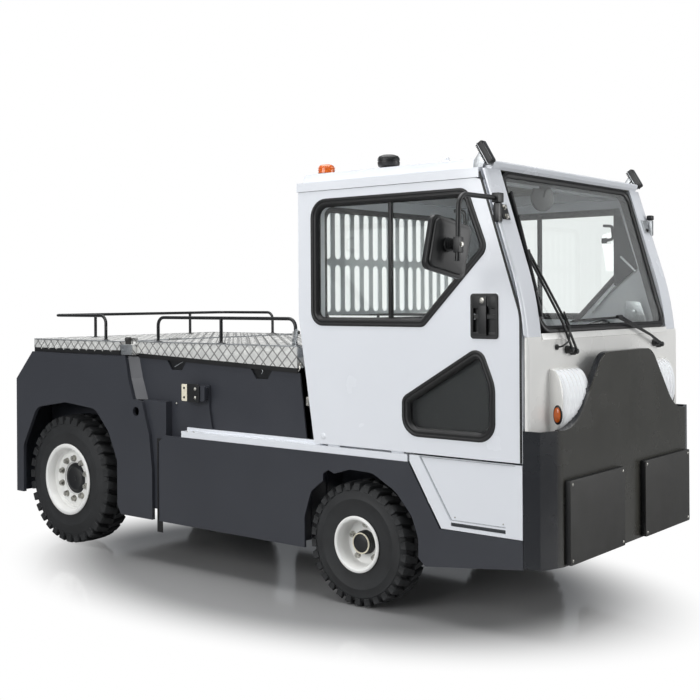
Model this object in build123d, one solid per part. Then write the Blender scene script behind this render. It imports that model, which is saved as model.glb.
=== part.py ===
from build123d import *
import math
import os

# Airport baggage tug with a sliding-door cab and two battery-deck lids.
# Millimetres. Lengths along X are measured from the rear axle, +X is forward,
# +Y is the vehicle's left and Z is measured from the ground. The finished parts
# are moved so that the origin lies on the ground under the middle of the length
# and of the width, the right mirror included.

# Main sizes
WHEELBASE = 2231.0
HALF_WIDTH = 760.0
REAR_END = -470.0
PLATE = 12.0
SEAT_GAP = 0.3
GLASS = 6.0

# Wheels
REAR_TYRE_R = 382.0
REAR_TYRE_W = 190.0
REAR_RIM_R = 212.0
REAR_INSET = 33.0
FRONT_TYRE_R = 295.0
FRONT_TYRE_W = 165.0
FRONT_RIM_R = 134.0
FRONT_INSET = 13.0
RIM_WALL = 10.0
RIM_LIP = 12.0
RIM_STEP = 4.0
FRONT_LUGS = 30
FRONT_LUG_DEEP = 18.0
REAR_LUGS = 32
REAR_LUG_DEEP = 24.0
LUG_SHARE = 0.7

# Axles and steering
KINGPIN_INSET = 120.0
KINGPIN_R = 17.0
STEER_ARM = 130.0
ARM_Z = 196.0
TIE_ROD_R = 12.0
TIE_BALL_R = 20.0
ARM_THICK = 18.0
ARM_PIN_R = 8.0
HUB_R = 46.0
REAR_TUBE_R = 55.0
STUB_R = 26.0
HUB_DEPTH = 30.0

# Frame
FRAME_OUT = 380.0
FRAME_IN = 300.0
FRAME_LOW = 470.0
FRAME_HIGH = 600.0
NOSE_LOW = 330.0
NOSE_HIGH = 452.0
NOSE_START = WHEELBASE + 329.0

# Rear body
DECK_Z = 1140.0
DECK_REAR = -303.0
REAR_CHAMFER_Z = 968.0
SIDE_PLATE = 20.0
SIDE_LOW = 272.0
SIDE_FOOT = 240.0
HOUSING_FLOOR = 880.0
HOUSING_WALL = 8.0
WHEEL_ROOM = 16.0

# Battery bay
BAY_HALF = 698.0
BAY_REAR = 616.0
BAY_FRONT = WHEELBASE - 406.0
BATTERY_LENGTH = BAY_FRONT - BAY_REAR - 209.0
BATTERY_WIDTH = 980.0
BATTERY_HEIGHT = 480.0

# Lids
LID_TOP = 1217.0
LID_SKIN = 5.0
REAR_LID_HALF = 750.0
REAR_LID_FRONT = 513.0
REAR_LID_REAR = -297.0
REAR_FLANGE = 52.0
FRONT_LID_HALF = 709.0
FRONT_FLANGE_REAR = 66.0
FRONT_FLANGE_FRONT = 110.0
LID_HINGE_BACK = 3.0
LID_HINGE_RISE = 5.0
REAR_HINGE_BACK = 10.0
HINGE_Y = 420.0
HINGE_R = 7.0
HINGE_PIN_R = 3.0
HINGE_MIDDLE = 40.0
HINGE_OUTER = 25.0
HINGE_PLAY = 1.0
TUB_FRONT = REAR_LID_FRONT + 35.0
RAIL_TUBE_R = 9.0
RAIL_HEIGHT = 143.0
RAIL_BEND = 45.0

# Skirts and sills
SKIRT_REAR = 850.0
SKIRT_TOP = 712.0
SKIRT_LOW = 240.0
SILL_REAR = SKIRT_REAR + 180.0
SILL_TOP = 745.0
DOOR_CLEAR = 6.0

# Cab
CAB_REAR = WHEELBASE - 347.0
CAB_LOW = 755.0
CAB_SEAM = WHEELBASE + 906.0
CAB_TOP = 1970.0
CAB_BEND_Z = 1380.0
SEAM_RAKE = 0.322
SEAM_TOP_X = CAB_SEAM - SEAM_RAKE * (CAB_TOP - CAB_BEND_Z)
REAR_BEND_Z = 1365.0
REAR_LEAN = 96.0
DOOR_THICK = 38.0
DOOR_TRAVEL = 730.0
SILL_FRONT = WHEELBASE + 304.0
TRIM_PROUD = 5.0
HANDLE_PROUD = 6.0
PILLAR_GROW = 32.0
SEAM_GAP = 12.0
PILLAR_IN = 640.0
COWL_TOP = 1285.0
COWL_FRONT = CAB_SEAM + 30.0
COWL_WALL = 24.0
CAB_SIDE = 700.0
PILLAR_TOP = CAB_TOP + 40.0
WALL = 22.0
ROOF_TOP = CAB_TOP + 91.0
ROOF_FRONT = SEAM_TOP_X + 25.0
VISOR_REAR = ROOF_FRONT - 106.0
GUTTER_HIGH = 45.0
GUTTER_FRONT = SEAM_TOP_X - 19.0
FLOOR_Z = 475.0
PLATFORM_Z = 680.0
FLOOR_PLATE = 20.0
RISER_X = WHEELBASE + 414.0

# Front bumper
BUMPER_FACE = CAB_SEAM + 123.0
BUMPER_BEND = BUMPER_FACE - 41.0
BUMPER_CORNER = 639.0
BUMPER_LOW = 317.0
BUMPER_TOP = 892.0
HUMP_TOP = 1207.0
HUMP_HALF_TOP = 247.0
HUMP_HALF_LOW = 514.0
HUMP_RETURN = 38.0
PAD_THICK = 30.0
PAD_WIDTH = 515.0
PAD_HEIGHT = 358.0
PAD_LOW = 323.0
PAD_INNER = 110.0

# Tow hitch
HITCH_REACH = 150.0
HITCH_WIDTH = 150.0
HITCH_LOW = 330.0
HITCH_LEVEL = 70.0
HITCH_FLANGE = 20.0
HITCH_PIN_R = 16.0
HITCH_PIN_CLEAR = 0.3
HITCH_LEVELS = 3
HITCH_PLATE = 24.0
HITCH_PIN_BACK = 52.5

# Right mirror
MIRROR_OUT = 1222.0

FRONT_END = BUMPER_FACE + PAD_THICK
MID_X = (FRONT_END + REAR_END - HITCH_REACH) / 2.0
MID_Y = (HALF_WIDTH + HANDLE_PROUD - MIRROR_OUT) / 2.0
BIG = 4000.0


def outline(corners):
    """Closed face through corners given as (x, y) or (x, y, radius)."""
    face = make_face(Polyline(*[(c[0], c[1]) for c in corners], close=True))
    for corner in corners:
        if len(corner) == 3:
            vertex = face.vertices().sort_by_distance((corner[0], corner[1], 0))[0]
            face = fillet(vertex, corner[2])
    return face


def side_slab(corners, y_low, y_high):
    """Side-view outline (X, Z) made solid between two widths."""
    slab = extrude(outline(corners), amount=y_high - y_low)
    return Plane.XZ.offset(-y_high) * slab


def front_slab(corners, x_low, x_high):
    """Front-view outline (Y, Z) made solid between two lengths."""
    slab = extrude(outline(corners), amount=x_high - x_low)
    return Plane.YZ.offset(x_low) * slab


def plan_slab(corners, z_low, z_high):
    """Plan outline (X, Y) made solid between two heights."""
    return Pos(0, 0, z_low) * extrude(outline(corners), amount=z_high - z_low)


def block(x_low, x_high, y_low, y_high, z_low, z_high):
    """Box between six planes."""
    size = Box(x_high - x_low, y_high - y_low, z_high - z_low)
    return Pos((x_low + x_high) / 2, (y_low + y_high) / 2, (z_low + z_high) / 2) * size


def rod_y(x, z, radius, y_low, y_high):
    """Cylinder along the width."""
    rod = Cylinder(radius, y_high - y_low)
    return Pos(x, (y_low + y_high) / 2, z) * Rot(90, 0, 0) * rod


def rod_x(y, z, radius, x_low, x_high):
    """Cylinder along the length."""
    rod = Cylinder(radius, x_high - x_low)
    return Pos((x_low + x_high) / 2, y, z) * Rot(0, 90, 0) * rod


def rod_z(x, y, radius, z_low, z_high):
    """Upright cylinder."""
    return Pos(x, y, (z_low + z_high) / 2) * Cylinder(radius, z_high - z_low)


def left_of(shape):
    """The same piece on the vehicle's left side."""
    return mirror(shape, about=Plane.XZ)


def both(shape):
    """A piece of the right side together with its twin on the left."""
    return [shape, left_of(shape)]


def tube(points, bend, radius):
    """Round tube along straight runs with tangent bends."""
    path = FilletPolyline(*points, radius=bend)
    start = Plane(origin=path @ 0, z_dir=path % 0)
    return sweep(start * Circle(radius), path=path)


def spun(corners):
    """Solid of revolution about the Y axis from (radius, y) corners."""
    face = make_face(Polyline(*[(r, y) for r, y in corners], close=True))
    return revolve(face, Axis.Y)


def save(name, solids):
    """Write one node, moved to the origin under the middle of the length and width."""
    if not isinstance(solids, (list, tuple)):
        solids = [solids]
    pieces = []
    for shape in solids:
        pieces.extend(shape.solids())
    export_step(Compound(children=[Pos(-MID_X, -MID_Y, 0) * s for s in pieces]),
                "parts/" + name + ".step")


# Wheels

def lug_outline(radius, deep, count, turn):
    """Toothed side view of half a tyre, one tooth for each lug."""
    pitch = 2 * math.pi / count
    reach = pitch * LUG_SHARE / 2
    corners = []
    for index in range(count):
        middle = turn + index * pitch
        for angle, r in ((-reach, radius - deep), (-reach, radius), (reach, radius),
                         (reach, radius - deep)):
            corners.append((r * math.cos(middle + angle), r * math.sin(middle + angle)))
    return outline(corners)


def tyre(radius, width, seat_radius, lugs, deep):
    """Solid tyre on a flat seat; the lugs of its halves are staggered by half a pitch."""
    half = width / 2
    outer = Plane.XZ * extrude(lug_outline(radius, deep, lugs, 0), half)
    inner = Plane.XZ.offset(-half) * extrude(lug_outline(radius, deep, lugs, math.pi / lugs), half)
    return outer + inner - rod_y(0, 0, seat_radius, -width, width)


def rim(seat_radius, flange_radius, width, dish, bore_radius):
    """Steel rim: stepped barrel, rolled outer lip and a dished disc. Outside is -Y."""
    half = width / 2
    barrel = seat_radius - RIM_WALL
    back = half - RIM_LIP
    lip = -half - RIM_WALL
    return spun([(barrel, back), (barrel, -dish), (bore_radius, -dish),
                 (bore_radius, -dish - RIM_WALL), (barrel - 2 * RIM_STEP, -dish - RIM_WALL),
                 (barrel - RIM_STEP, -dish - 3 * RIM_STEP), (barrel - RIM_STEP, -half + RIM_LIP),
                 (barrel, -half + RIM_STEP), (barrel + RIM_STEP, lip),
                 (flange_radius - RIM_STEP, lip), (flange_radius, lip + RIM_STEP),
                 (flange_radius, -half), (seat_radius, -half), (seat_radius, back)])


def rear_wheel_y():
    return HALF_WIDTH - REAR_INSET - REAR_TYRE_W / 2


def front_wheel_y():
    return HALF_WIDTH - FRONT_INSET - FRONT_TYRE_W / 2


def kingpin_y():
    return front_wheel_y() - KINGPIN_INSET


REAR_SEAT_R = REAR_RIM_R - 22.0
FRONT_SEAT_R = FRONT_RIM_R - 12.0
REAR_DISH = 8.0
FRONT_DISH = 20.0
REAR_HUB_R = 94.0
REAR_NUT_PCD = 240.0
REAR_NUTS = 10
FRONT_NUT_PCD = 135.0
FRONT_NUTS = 5
NUT_ACROSS = 24.0
NUT_HIGH = 18.0


def nuts(count, pcd, y):
    """Ring of wheel nuts on the outer face of a disc."""
    nut = Rot(90, 0, 0) * extrude(RegularPolygon(NUT_ACROSS / 2, 6, major_radius=False), NUT_HIGH)
    ring = []
    for index in range(count):
        angle = 360.0 * index / count
        ring.append(Rot(0, angle, 0) * Pos(pcd / 2, y, 0) * nut)
    return ring


def rear_rim():
    """Rear rim with nuts and a flat hub cap."""
    face = -REAR_DISH - RIM_WALL
    body = rim(REAR_SEAT_R, REAR_RIM_R, REAR_TYRE_W, REAR_DISH, REAR_TUBE_R + SEAT_GAP)
    cap = spun([(0, face - 46), (REAR_HUB_R - 8, face - 46), (REAR_HUB_R, face - 38),
                (REAR_HUB_R, face), (0, face)])
    for nut in nuts(REAR_NUTS, REAR_NUT_PCD, face):
        body = body + nut
    return body + cap


def front_rim():
    """Front rim with nuts, a stepped hub and a domed cap."""
    face = -FRONT_DISH - RIM_WALL
    bore = STUB_R + SEAT_GAP
    body = rim(FRONT_SEAT_R, FRONT_RIM_R, FRONT_TYRE_W, FRONT_DISH, bore)
    body = body + spun([(bore, -FRONT_DISH), (HUB_R, -FRONT_DISH), (HUB_R, HUB_DEPTH - FRONT_DISH),
                        (bore, HUB_DEPTH - FRONT_DISH)])
    cap = spun([(0, face - 62), (20, face - 60), (38, face - 50), (40, face - 34),
                (46, face - 30), (48, face), (0, face)])
    for nut in nuts(FRONT_NUTS, FRONT_NUT_PCD, face):
        body = body + nut
    return body + cap


def front_tyre():
    return tyre(FRONT_TYRE_R, FRONT_TYRE_W, FRONT_SEAT_R, FRONT_LUGS, FRONT_LUG_DEEP)


def rear_tyre():
    return tyre(REAR_TYRE_R, REAR_TYRE_W, REAR_SEAT_R, REAR_LUGS, REAR_LUG_DEEP)


def place_rear(shape):
    """Right rear wheel place; the piece's outside is -Y."""
    return Pos(0, -rear_wheel_y(), REAR_TYRE_R) * shape


def place_front(shape):
    return Pos(WHEELBASE, -front_wheel_y(), FRONT_TYRE_R) * shape


# Axles

def front_axle():
    """Beam between the kingpins with a clevis at each end, hung under the frame."""
    end = kingpin_y()
    z = FRONT_TYRE_R
    beam = block(WHEELBASE - 42, WHEELBASE + 42, -end + 62, end - 62, z - 42, z + 42)
    for side in (-1, 1):
        inner = side * (end - 62)
        outer = side * end
        low, high = min(inner, outer), max(inner, outer)
        for z_low in (z - 62, z + 34):
            beam = beam + block(WHEELBASE - 30, WHEELBASE + 30, low, high, z_low, z_low + 28)
            beam = beam + rod_z(WHEELBASE, outer, 30, z_low, z_low + 28)
        cheek_low, cheek_high = min(inner, inner + side * 16), max(inner, inner + side * 16)
        beam = beam + block(WHEELBASE - 30, WHEELBASE + 30, cheek_low, cheek_high, z - 62, z + 62)
        beam = beam + rod_z(WHEELBASE, outer, KINGPIN_R, z - 62, z + 62)
    for side in (-1, 1):
        y = side * (FRAME_OUT + FRAME_IN) / 2
        beam = beam + block(WHEELBASE - 60, WHEELBASE + 60, y - 32, y + 32, z + 42, FRAME_LOW)
    return beam


def knuckle():
    """Right steering knuckle: boss on the kingpin, stub axle, yoke and steering arm."""
    x, y, z = WHEELBASE, -kingpin_y(), FRONT_TYRE_R
    outer = -front_wheel_y() - FRONT_DISH - RIM_WALL + SEAT_GAP
    boss = rod_z(x, y, 30, z - 34 + SEAT_GAP, z + 34 - SEAT_GAP)
    stub = rod_y(x, z, STUB_R, outer, y)
    yoke = block(x - 26, x + 26, y - 46, y - 32, ARM_Z, z)
    end = x - STEER_ARM
    arm = plan_slab([(x + 26, y - 46, 8), (x + 26, y + 20, 8), (end - 20, y + 20, 18),
                     (end - 20, y - 20, 18), (x - 60, y - 20), (x - 26, y - 32), (x - 26, y - 46)],
                    ARM_Z, ARM_Z + ARM_THICK)
    pin = rod_z(end, y, ARM_PIN_R, ARM_Z - 32, ARM_Z + ARM_THICK)
    body = boss + stub - rod_z(x, y, KINGPIN_R + SEAT_GAP, 0, 2 * z)
    return body + yoke + arm + pin


def tie_rod():
    """Track rod between the two parallel steering arms, behind the axle."""
    x = WHEELBASE - STEER_ARM
    end = kingpin_y()
    z = ARM_Z - 16
    rod = rod_y(x, z, TIE_ROD_R, -end, end)
    for side in (-1, 1):
        rod = rod + rod_z(x, side * end, TIE_BALL_R, z - 14, z + 14)
        rod = rod - rod_z(x, side * end, ARM_PIN_R + SEAT_GAP, z - 40, z + 40)
    return rod


def rear_axle():
    """Axle tube with the gear case in the middle and spring pads under the frame."""
    end = rear_wheel_y() + REAR_DISH - SEAT_GAP
    z = REAR_TYRE_R
    tube_solid = rod_y(0, z, REAR_TUBE_R, -end, end)
    case = rod_y(0, z, 120, -70, 70)
    motor = rod_x(0, z, 95, 60, 380)
    body = tube_solid + case + motor
    for side in (-1, 1):
        y = side * (FRAME_OUT + FRAME_IN) / 2
        body = body + block(-60, 60, y - 32, y + 32, z, FRAME_LOW)
        body = body + rod_y(0, z, 85, side * 470 - 20, side * 470 + 20)
    return body


# Frame and body

def fixed_knuckle(x, z, y):
    """The chassis side of one lid hinge: the middle barrel with the pin through it."""
    half = HINGE_MIDDLE / 2
    reach = half + HINGE_PLAY + HINGE_OUTER
    return rod_y(x, z, HINGE_R, y - half, y + half) + rod_y(x, z, HINGE_PIN_R, y - reach, y + reach)


def lid_knuckles(x, z, y):
    """The lid side of one lid hinge: two barrels beside the middle one."""
    low = HINGE_MIDDLE / 2 + HINGE_PLAY
    high = low + HINGE_OUTER
    return [rod_y(x, z, HINGE_R, y + low, y + high), rod_y(x, z, HINGE_R, y - high, y - low)]


def hinge_bore(x, z):
    return rod_y(x, z, HINGE_PIN_R + SEAT_GAP, -HALF_WIDTH, HALF_WIDTH)


def rear_hinge_place():
    return REAR_LID_REAR - REAR_HINGE_BACK, LID_TOP - REAR_FLANGE - 2


def front_hinge_place():
    return BAY_REAR - LID_HINGE_BACK, LID_TOP + LID_HINGE_RISE

def frame_rails():
    """Two box rails that drop at the nose."""
    rear = REAR_END + PLATE
    nose = COWL_FRONT - COWL_WALL
    profile = [(rear, FRAME_LOW), (NOSE_START - 150, FRAME_LOW), (NOSE_START, NOSE_LOW),
               (nose, NOSE_LOW), (nose, NOSE_HIGH), (NOSE_START + 40, NOSE_HIGH),
               (NOSE_START - 120, FRAME_HIGH), (rear, FRAME_HIGH)]
    return both(side_slab(profile, -FRAME_OUT, -FRAME_IN))


def frame_crossmembers():
    """Members between the rails and outriggers from the rails to the skirts."""
    rear = REAR_END + PLATE
    nose = COWL_FRONT - COWL_WALL
    members = []
    for x in (rear, TUB_FRONT + 12, BAY_REAR + 784, CAB_REAR + 96):
        members.append(block(x, x + 60, -FRAME_IN, FRAME_IN, FRAME_LOW, FRAME_HIGH))
    for x in (NOSE_START + 240, nose - 60):
        members.append(block(x, x + 60, -FRAME_IN, FRAME_IN, NOSE_LOW, NOSE_HIGH))
    reach = HALF_WIDTH - PLATE
    for x in (SKIRT_REAR + 50, BAY_FRONT - 125):
        members += both(block(x, x + 50, -reach, -FRAME_OUT, FRAME_LOW, FRAME_HIGH))
    for x in (NOSE_START + 200, NOSE_START + 480):
        members += both(block(x, x + 50, -reach, -FRAME_OUT, NOSE_LOW, NOSE_HIGH - 40))
    return members


def arch_rear():
    """Rear wheel arch as a many-sided opening, wider than the tyre."""
    return [(-400, 0), (-400, 560, 90), (-262, 802, 90), (20, 846, 200), (300, 822, 90),
            (420, 700, 120), (497, 540, 90), (497, 290, 20), (530, SIDE_FOOT - 2), (530, 0)]


def rear_side_plate():
    """Thick right side plate with the wheel arch, the stepped front edge and one hole."""
    corners = [(REAR_END, SIDE_LOW), (REAR_END, REAR_CHAMFER_Z), (DECK_REAR, DECK_Z),
               (571, DECK_Z - 8), (598, 1010), (640, 893, 8), (712, 887, 14), (771, 707),
               (795, 516), (795, SIDE_FOOT), (520, SIDE_FOOT), (-400, SIDE_LOW)]
    plate = side_slab(corners, -HALF_WIDTH, -HALF_WIDTH + SIDE_PLATE)
    plate = plate - side_slab(arch_rear(), -HALF_WIDTH - 5, -HALF_WIDTH + SIDE_PLATE + 5)
    return plate - rod_y(662, 828, 26, -HALF_WIDTH - 5, -HALF_WIDTH + SIDE_PLATE + 5)


def storage_tub():
    """Open storage tub under the rear lid."""
    half = HALF_WIDTH - SIDE_PLATE
    rear = DECK_REAR + 14
    front = TUB_FRONT
    tub = block(rear, front, -half, half, HOUSING_FLOOR - HOUSING_WALL, DECK_Z)
    return tub - block(rear + HOUSING_WALL, front - HOUSING_WALL, -half + HOUSING_WALL,
                       half - HOUSING_WALL, HOUSING_FLOOR, DECK_Z + 10)


def drive_housing():
    """Closed housing over the drive axle, between the rear wheels."""
    inner = rear_wheel_y() - REAR_TYRE_W / 2 - WHEEL_ROOM
    return block(REAR_END + PLATE + 20, TUB_FRONT, -inner, inner, FRAME_HIGH,
                 HOUSING_FLOOR - HOUSING_WALL)


def rear_panel():
    """Bent rear plate between the side plates."""
    half = HALF_WIDTH - SIDE_PLATE
    corners = [(REAR_END, SIDE_LOW), (REAR_END, REAR_CHAMFER_Z), (DECK_REAR, DECK_Z),
               (DECK_REAR + 14, DECK_Z), (REAR_END + PLATE, REAR_CHAMFER_Z - 5),
               (REAR_END + PLATE, SIDE_LOW)]
    panel = side_slab(corners, -half, half)
    x, z = rear_hinge_place()
    for y in (-HINGE_Y, HINGE_Y):
        leaf = block(x - 5, x + 3, y - HINGE_MIDDLE / 2, y + HINGE_MIDDLE / 2, DECK_Z - 20, z)
        panel = panel + leaf + fixed_knuckle(x, z, y)
    return panel


def tow_hitch():
    """Two-level towing jaw with its pin parked in a holder beside it."""
    rear, front = REAR_END - HITCH_REACH, REAR_END
    half = HITCH_WIDTH / 2
    plate = front - HITCH_PLATE
    span = (HITCH_LEVELS - 1) * HITCH_LEVEL + HITCH_FLANGE
    body = block(plate, front, -half - 30, half + 90, HITCH_LOW - 20, HITCH_LOW + span + 20)
    for index in range(HITCH_LEVELS):
        z = HITCH_LOW + index * HITCH_LEVEL
        body = body + plan_slab([(plate, -half), (rear, -half, half * 0.65),
                                 (rear, half, half * 0.65), (plate, half)], z, z + HITCH_FLANGE)
    body = body - rod_z(rear + HITCH_PIN_BACK, 0, HITCH_PIN_R + HITCH_PIN_CLEAR, 0, BIG)
    park_x, park_y = plate - HITCH_PIN_R - 9, half + 55
    park_top = HITCH_LOW + span
    holder = rod_z(park_x, park_y, HITCH_PIN_R + 9, park_top - 60, park_top)
    holder = holder + block(park_x, plate, park_y - 12, park_y + 12, park_top - 60, park_top)
    bore = rod_z(park_x, park_y, HITCH_PIN_R + HITCH_PIN_CLEAR, park_top - 61, park_top + 1)
    pin = rod_z(park_x, park_y, HITCH_PIN_R, park_top - span - 12, park_top + 40)
    pin = pin + rod_z(park_x, park_y, HITCH_PIN_R + 10, park_top + SEAT_GAP, park_top + 12)
    return [body + holder - bore, pin]


def battery():
    """Traction battery standing on the frame rails."""
    middle = (BAY_REAR + BAY_FRONT) / 2
    return block(middle - BATTERY_LENGTH / 2, middle + BATTERY_LENGTH / 2,
                 -BATTERY_WIDTH / 2, BATTERY_WIDTH / 2, FRAME_HIGH, FRAME_HIGH + BATTERY_HEIGHT)


def lid_slope(x):
    """Height of the front lid's tapered flange edge at a length."""
    share = (x - BAY_REAR) / (BAY_FRONT - BAY_REAR)
    return LID_TOP - FRONT_FLANGE_REAR - share * (FRONT_FLANGE_FRONT - FRONT_FLANGE_REAR)


SEAL_HIGH = 24.0
SEAL_BAND = 34.0


CATCH_GAP = 8.0
CATCH_LENGTH = 170.0
CATCH_LOW = 912.0
CATCH_HIGH = 994.0


def door_rear_edge(z):
    """Length of the shut door's rear edge at a height below its bend."""
    return CAB_REAR + REAR_LEAN * (REAR_BEND_Z - z) / (REAR_BEND_Z - CAB_LOW)


def door_catch():
    """Post on the sill rail with the pad that holds the open right door."""
    front = door_rear_edge(CATCH_HIGH) - DOOR_TRAVEL - CATCH_GAP
    rear = front - CATCH_LENGTH
    foot = SILL_TOP + 16
    wall = -BAY_HALF - 12
    post = side_slab([(front - 82, foot), (front + 16, foot), (front - 6, CATCH_LOW - 40, 120),
                      (front - 6, CATCH_HIGH), (front - 82, CATCH_HIGH)], wall, -BAY_HALF)
    arm = side_slab([(rear + 30, CATCH_LOW + 12, 8), (front - 12, CATCH_LOW + 12, 8),
                     (front - 12, CATCH_HIGH - 10, 8), (rear + 30, CATCH_HIGH - 10, 8)], wall - 26, wall)
    pad = side_slab([(rear, CATCH_LOW, 10), (front, CATCH_LOW, 10), (front, CATCH_HIGH, 10),
                     (rear, CATCH_HIGH, 10)], -HALF_WIDTH + 10, wall - 26)
    return post + arm + pad


def battery_cover():
    """Right battery cover with two notches, its angled rear plate and the door catch."""
    def edge(x):
        return lid_slope(x) - SEAL_HIGH
    corners = [(BAY_REAR, 690), (BAY_REAR, edge(BAY_REAR))]
    for start in (BAY_REAR + 239, BAY_FRONT - 330):
        corners += [(start, edge(start)), (start + 38, edge(start) - 52),
                    (start + 120, edge(start) - 52), (start + 152, edge(start + 152))]
    corners += [(BAY_FRONT + 8, edge(BAY_FRONT + 8)), (BAY_FRONT + 60, 690)]
    cover = side_slab(corners, -BAY_HALF, -BAY_HALF + 8)
    outer = Plane(origin=(0, -HALF_WIDTH + SIDE_PLATE, 0), x_dir=(1, 0, 0), z_dir=(0, -1, 0))
    inner = Plane(origin=(0, -BAY_HALF, 0), x_dir=(1, 0, 0), z_dir=(0, -1, 0))
    rear, high = TUB_FRONT, DECK_Z - 8
    wide = outline([(rear, 893), (rear + 86, 893), (rear + 44, 1010), (rear + 17, high), (rear, high)])
    narrow = outline([(rear, 893), (rear + 146, 893), (rear + 104, 1010), (BAY_REAR + 4, high),
                      (rear, high)])
    gusset = loft([outer * wide, inner * narrow])
    filler = block(BAY_REAR + 84, SKIRT_REAR + 40, -HALF_WIDTH + SIDE_PLATE, -BAY_HALF, 300, 893)
    web = block(rear, BAY_REAR, -BAY_HALF, -BAY_HALF + 8, 690, high)
    return cover + gusset + filler + web + door_catch()


def skirt():
    """Right skirt with the front wheel arch and the tongue under the step."""
    arch = [(-317, SKIRT_LOW), (-317, 390, 60), (-274, 520, 60), (-197, 578), (-197, 612, 12),
            (-165, 632, 12), (-126, 618), (-31, 646, 60), (104, 642, 100), (239, 570, 150),
            (329, 470, 120), (365, 370, 60), (365, 285, 15), (403, 252)]
    corners = [(SKIRT_REAR, SKIRT_LOW)] + [(WHEELBASE + c[0],) + c[1:] for c in arch]
    corners += [(CAB_SEAM - 2, BUMPER_LOW - 8), (CAB_SEAM - 2, 430), (WHEELBASE + 481, 430),
                (WHEELBASE + 309, SKIRT_TOP), (SKIRT_REAR + 50, SKIRT_TOP),
                (SKIRT_REAR, SKIRT_TOP - 40)]
    return side_slab(corners, -HALF_WIDTH, -HALF_WIDTH + PLATE)


def sill_rail():
    """Right sliding-door rail: a flat track on the skirt and an inner upstand."""
    corners = [(-HALF_WIDTH + 3, SKIRT_TOP), (-HALF_WIDTH + 3, SILL_TOP),
               (-BAY_HALF - 16, SILL_TOP), (-BAY_HALF - 16, SILL_TOP + 16),
               (-BAY_HALF - 4, SILL_TOP + 16), (-BAY_HALF - 4, SKIRT_TOP)]
    return front_slab(corners, SILL_REAR, SILL_FRONT)


def gutter():
    """Right roof-edge rail that carries the top of the door."""
    half = HALF_WIDTH + 4
    corners = [(-half, CAB_TOP + 2), (-half, CAB_TOP + GUTTER_HIGH),
               (-half + 50, CAB_TOP + GUTTER_HIGH), (-half + 50, CAB_TOP + 2)]
    return front_slab(corners, CAB_REAR - 6, GUTTER_FRONT)


TREAD_REAR = CAB_SEAM - 365.0
TREAD_FRONT = CAB_SEAM - 87.0
TREAD_TOP = 466.0


def step_panel():
    """Right white step panel with the slot of the step tread."""
    rear = TREAD_REAR - 224
    corners = [(rear, SKIRT_TOP + 34), (rear, SKIRT_TOP + 3), (rear + 172, 433), (CAB_SEAM - 4, 433),
               (CAB_SEAM - 4, SKIRT_TOP + 34)]
    body = side_slab(corners, -HALF_WIDTH + 2, -HALF_WIDTH + 18)
    inset = side_slab([(TREAD_REAR - 172, SKIRT_TOP + 32), (TREAD_REAR - 4, TREAD_TOP + 8),
                       (TREAD_FRONT, TREAD_TOP + 8), (TREAD_FRONT + 50, SKIRT_TOP + 32)],
                      -HALF_WIDTH, -HALF_WIDTH + 7)
    slot = block(TREAD_REAR, TREAD_FRONT, -HALF_WIDTH, -HALF_WIDTH + 12, TREAD_TOP - 16, TREAD_TOP)
    return body - inset - slot


def bumper_profile():
    """Front-view outline of the bumper plate with its round-topped hump."""
    low, top = BUMPER_LOW, BUMPER_TOP
    right = [(-BUMPER_CORNER, low), (-BUMPER_CORNER, top), (-HUMP_HALF_LOW, top, 235),
             (-HUMP_HALF_TOP, HUMP_TOP, 130)]
    left = [(-c[0],) + c[1:] for c in reversed(right)]
    return right + left


def front_bumper():
    """Welded bumper: humped front pan, chamfered corners and short side wraps."""
    back = BUMPER_FACE - HUMP_RETURN
    pan = front_slab(bumper_profile(), back, BUMPER_FACE)
    inner = offset(outline(bumper_profile()), amount=-PLATE)
    hollow = Plane.YZ.offset(back - 1) * extrude(inner, HUMP_RETURN - PLATE + 1)
    pan = pan - hollow
    plan = [(CAB_SEAM, -HALF_WIDTH), (BUMPER_BEND, -HALF_WIDTH), (BUMPER_FACE, -BUMPER_CORNER),
            (BUMPER_FACE, BUMPER_CORNER), (BUMPER_BEND, HALF_WIDTH), (CAB_SEAM, HALF_WIDTH)]
    wrap = plan_slab(plan, BUMPER_LOW, BUMPER_TOP)
    inside = offset(outline([(CAB_SEAM - 100, -HALF_WIDTH)] + plan[1:5]
                            + [(CAB_SEAM - 100, HALF_WIDTH)]), amount=-PLATE)
    wrap = wrap - Pos(0, 0, BUMPER_LOW - 10) * extrude(inside, BUMPER_TOP)
    return pan + wrap


def bumper_pads():
    """Two pads on the bumper's face."""
    pads = []
    for side in (-1, 1):
        y_low, y_high = sorted((side * PAD_INNER, side * (PAD_INNER + PAD_WIDTH)))
        pad = block(BUMPER_FACE, FRONT_END, y_low, y_high, PAD_LOW, PAD_LOW + PAD_HEIGHT)
        pads.append(chamfer(pad.faces().sort_by(Axis.X)[-1].edges(), 4))
    return pads


# Cab

def door_outline():
    """Side-view outline of the sliding door."""
    return [(CAB_REAR + REAR_LEAN, CAB_LOW), (CAB_REAR, REAR_BEND_Z, 250), (CAB_REAR, CAB_TOP),
            (SEAM_TOP_X, CAB_TOP, 60), (CAB_SEAM, CAB_BEND_Z, 1400), (CAB_SEAM, CAB_LOW)]


WINDOW_REAR = CAB_REAR + 82.0
WINDOW_SILL = 1322.0
WINDOW_HEAD = CAB_TOP - 39.0
WINDOW_KNEE = WINDOW_SILL + 0.558 * (WINDOW_HEAD - WINDOW_SILL)
LOW_WINDOW_FRONT = CAB_SEAM - 133.0
LOW_WINDOW_REAR = LOW_WINDOW_FRONT - 494.0
LOW_WINDOW_SILL = 829.0


def seam_x(z):
    """Length of the door's front seam at a height above its bend."""
    return CAB_SEAM - SEAM_RAKE * (z - CAB_BEND_Z)


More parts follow.
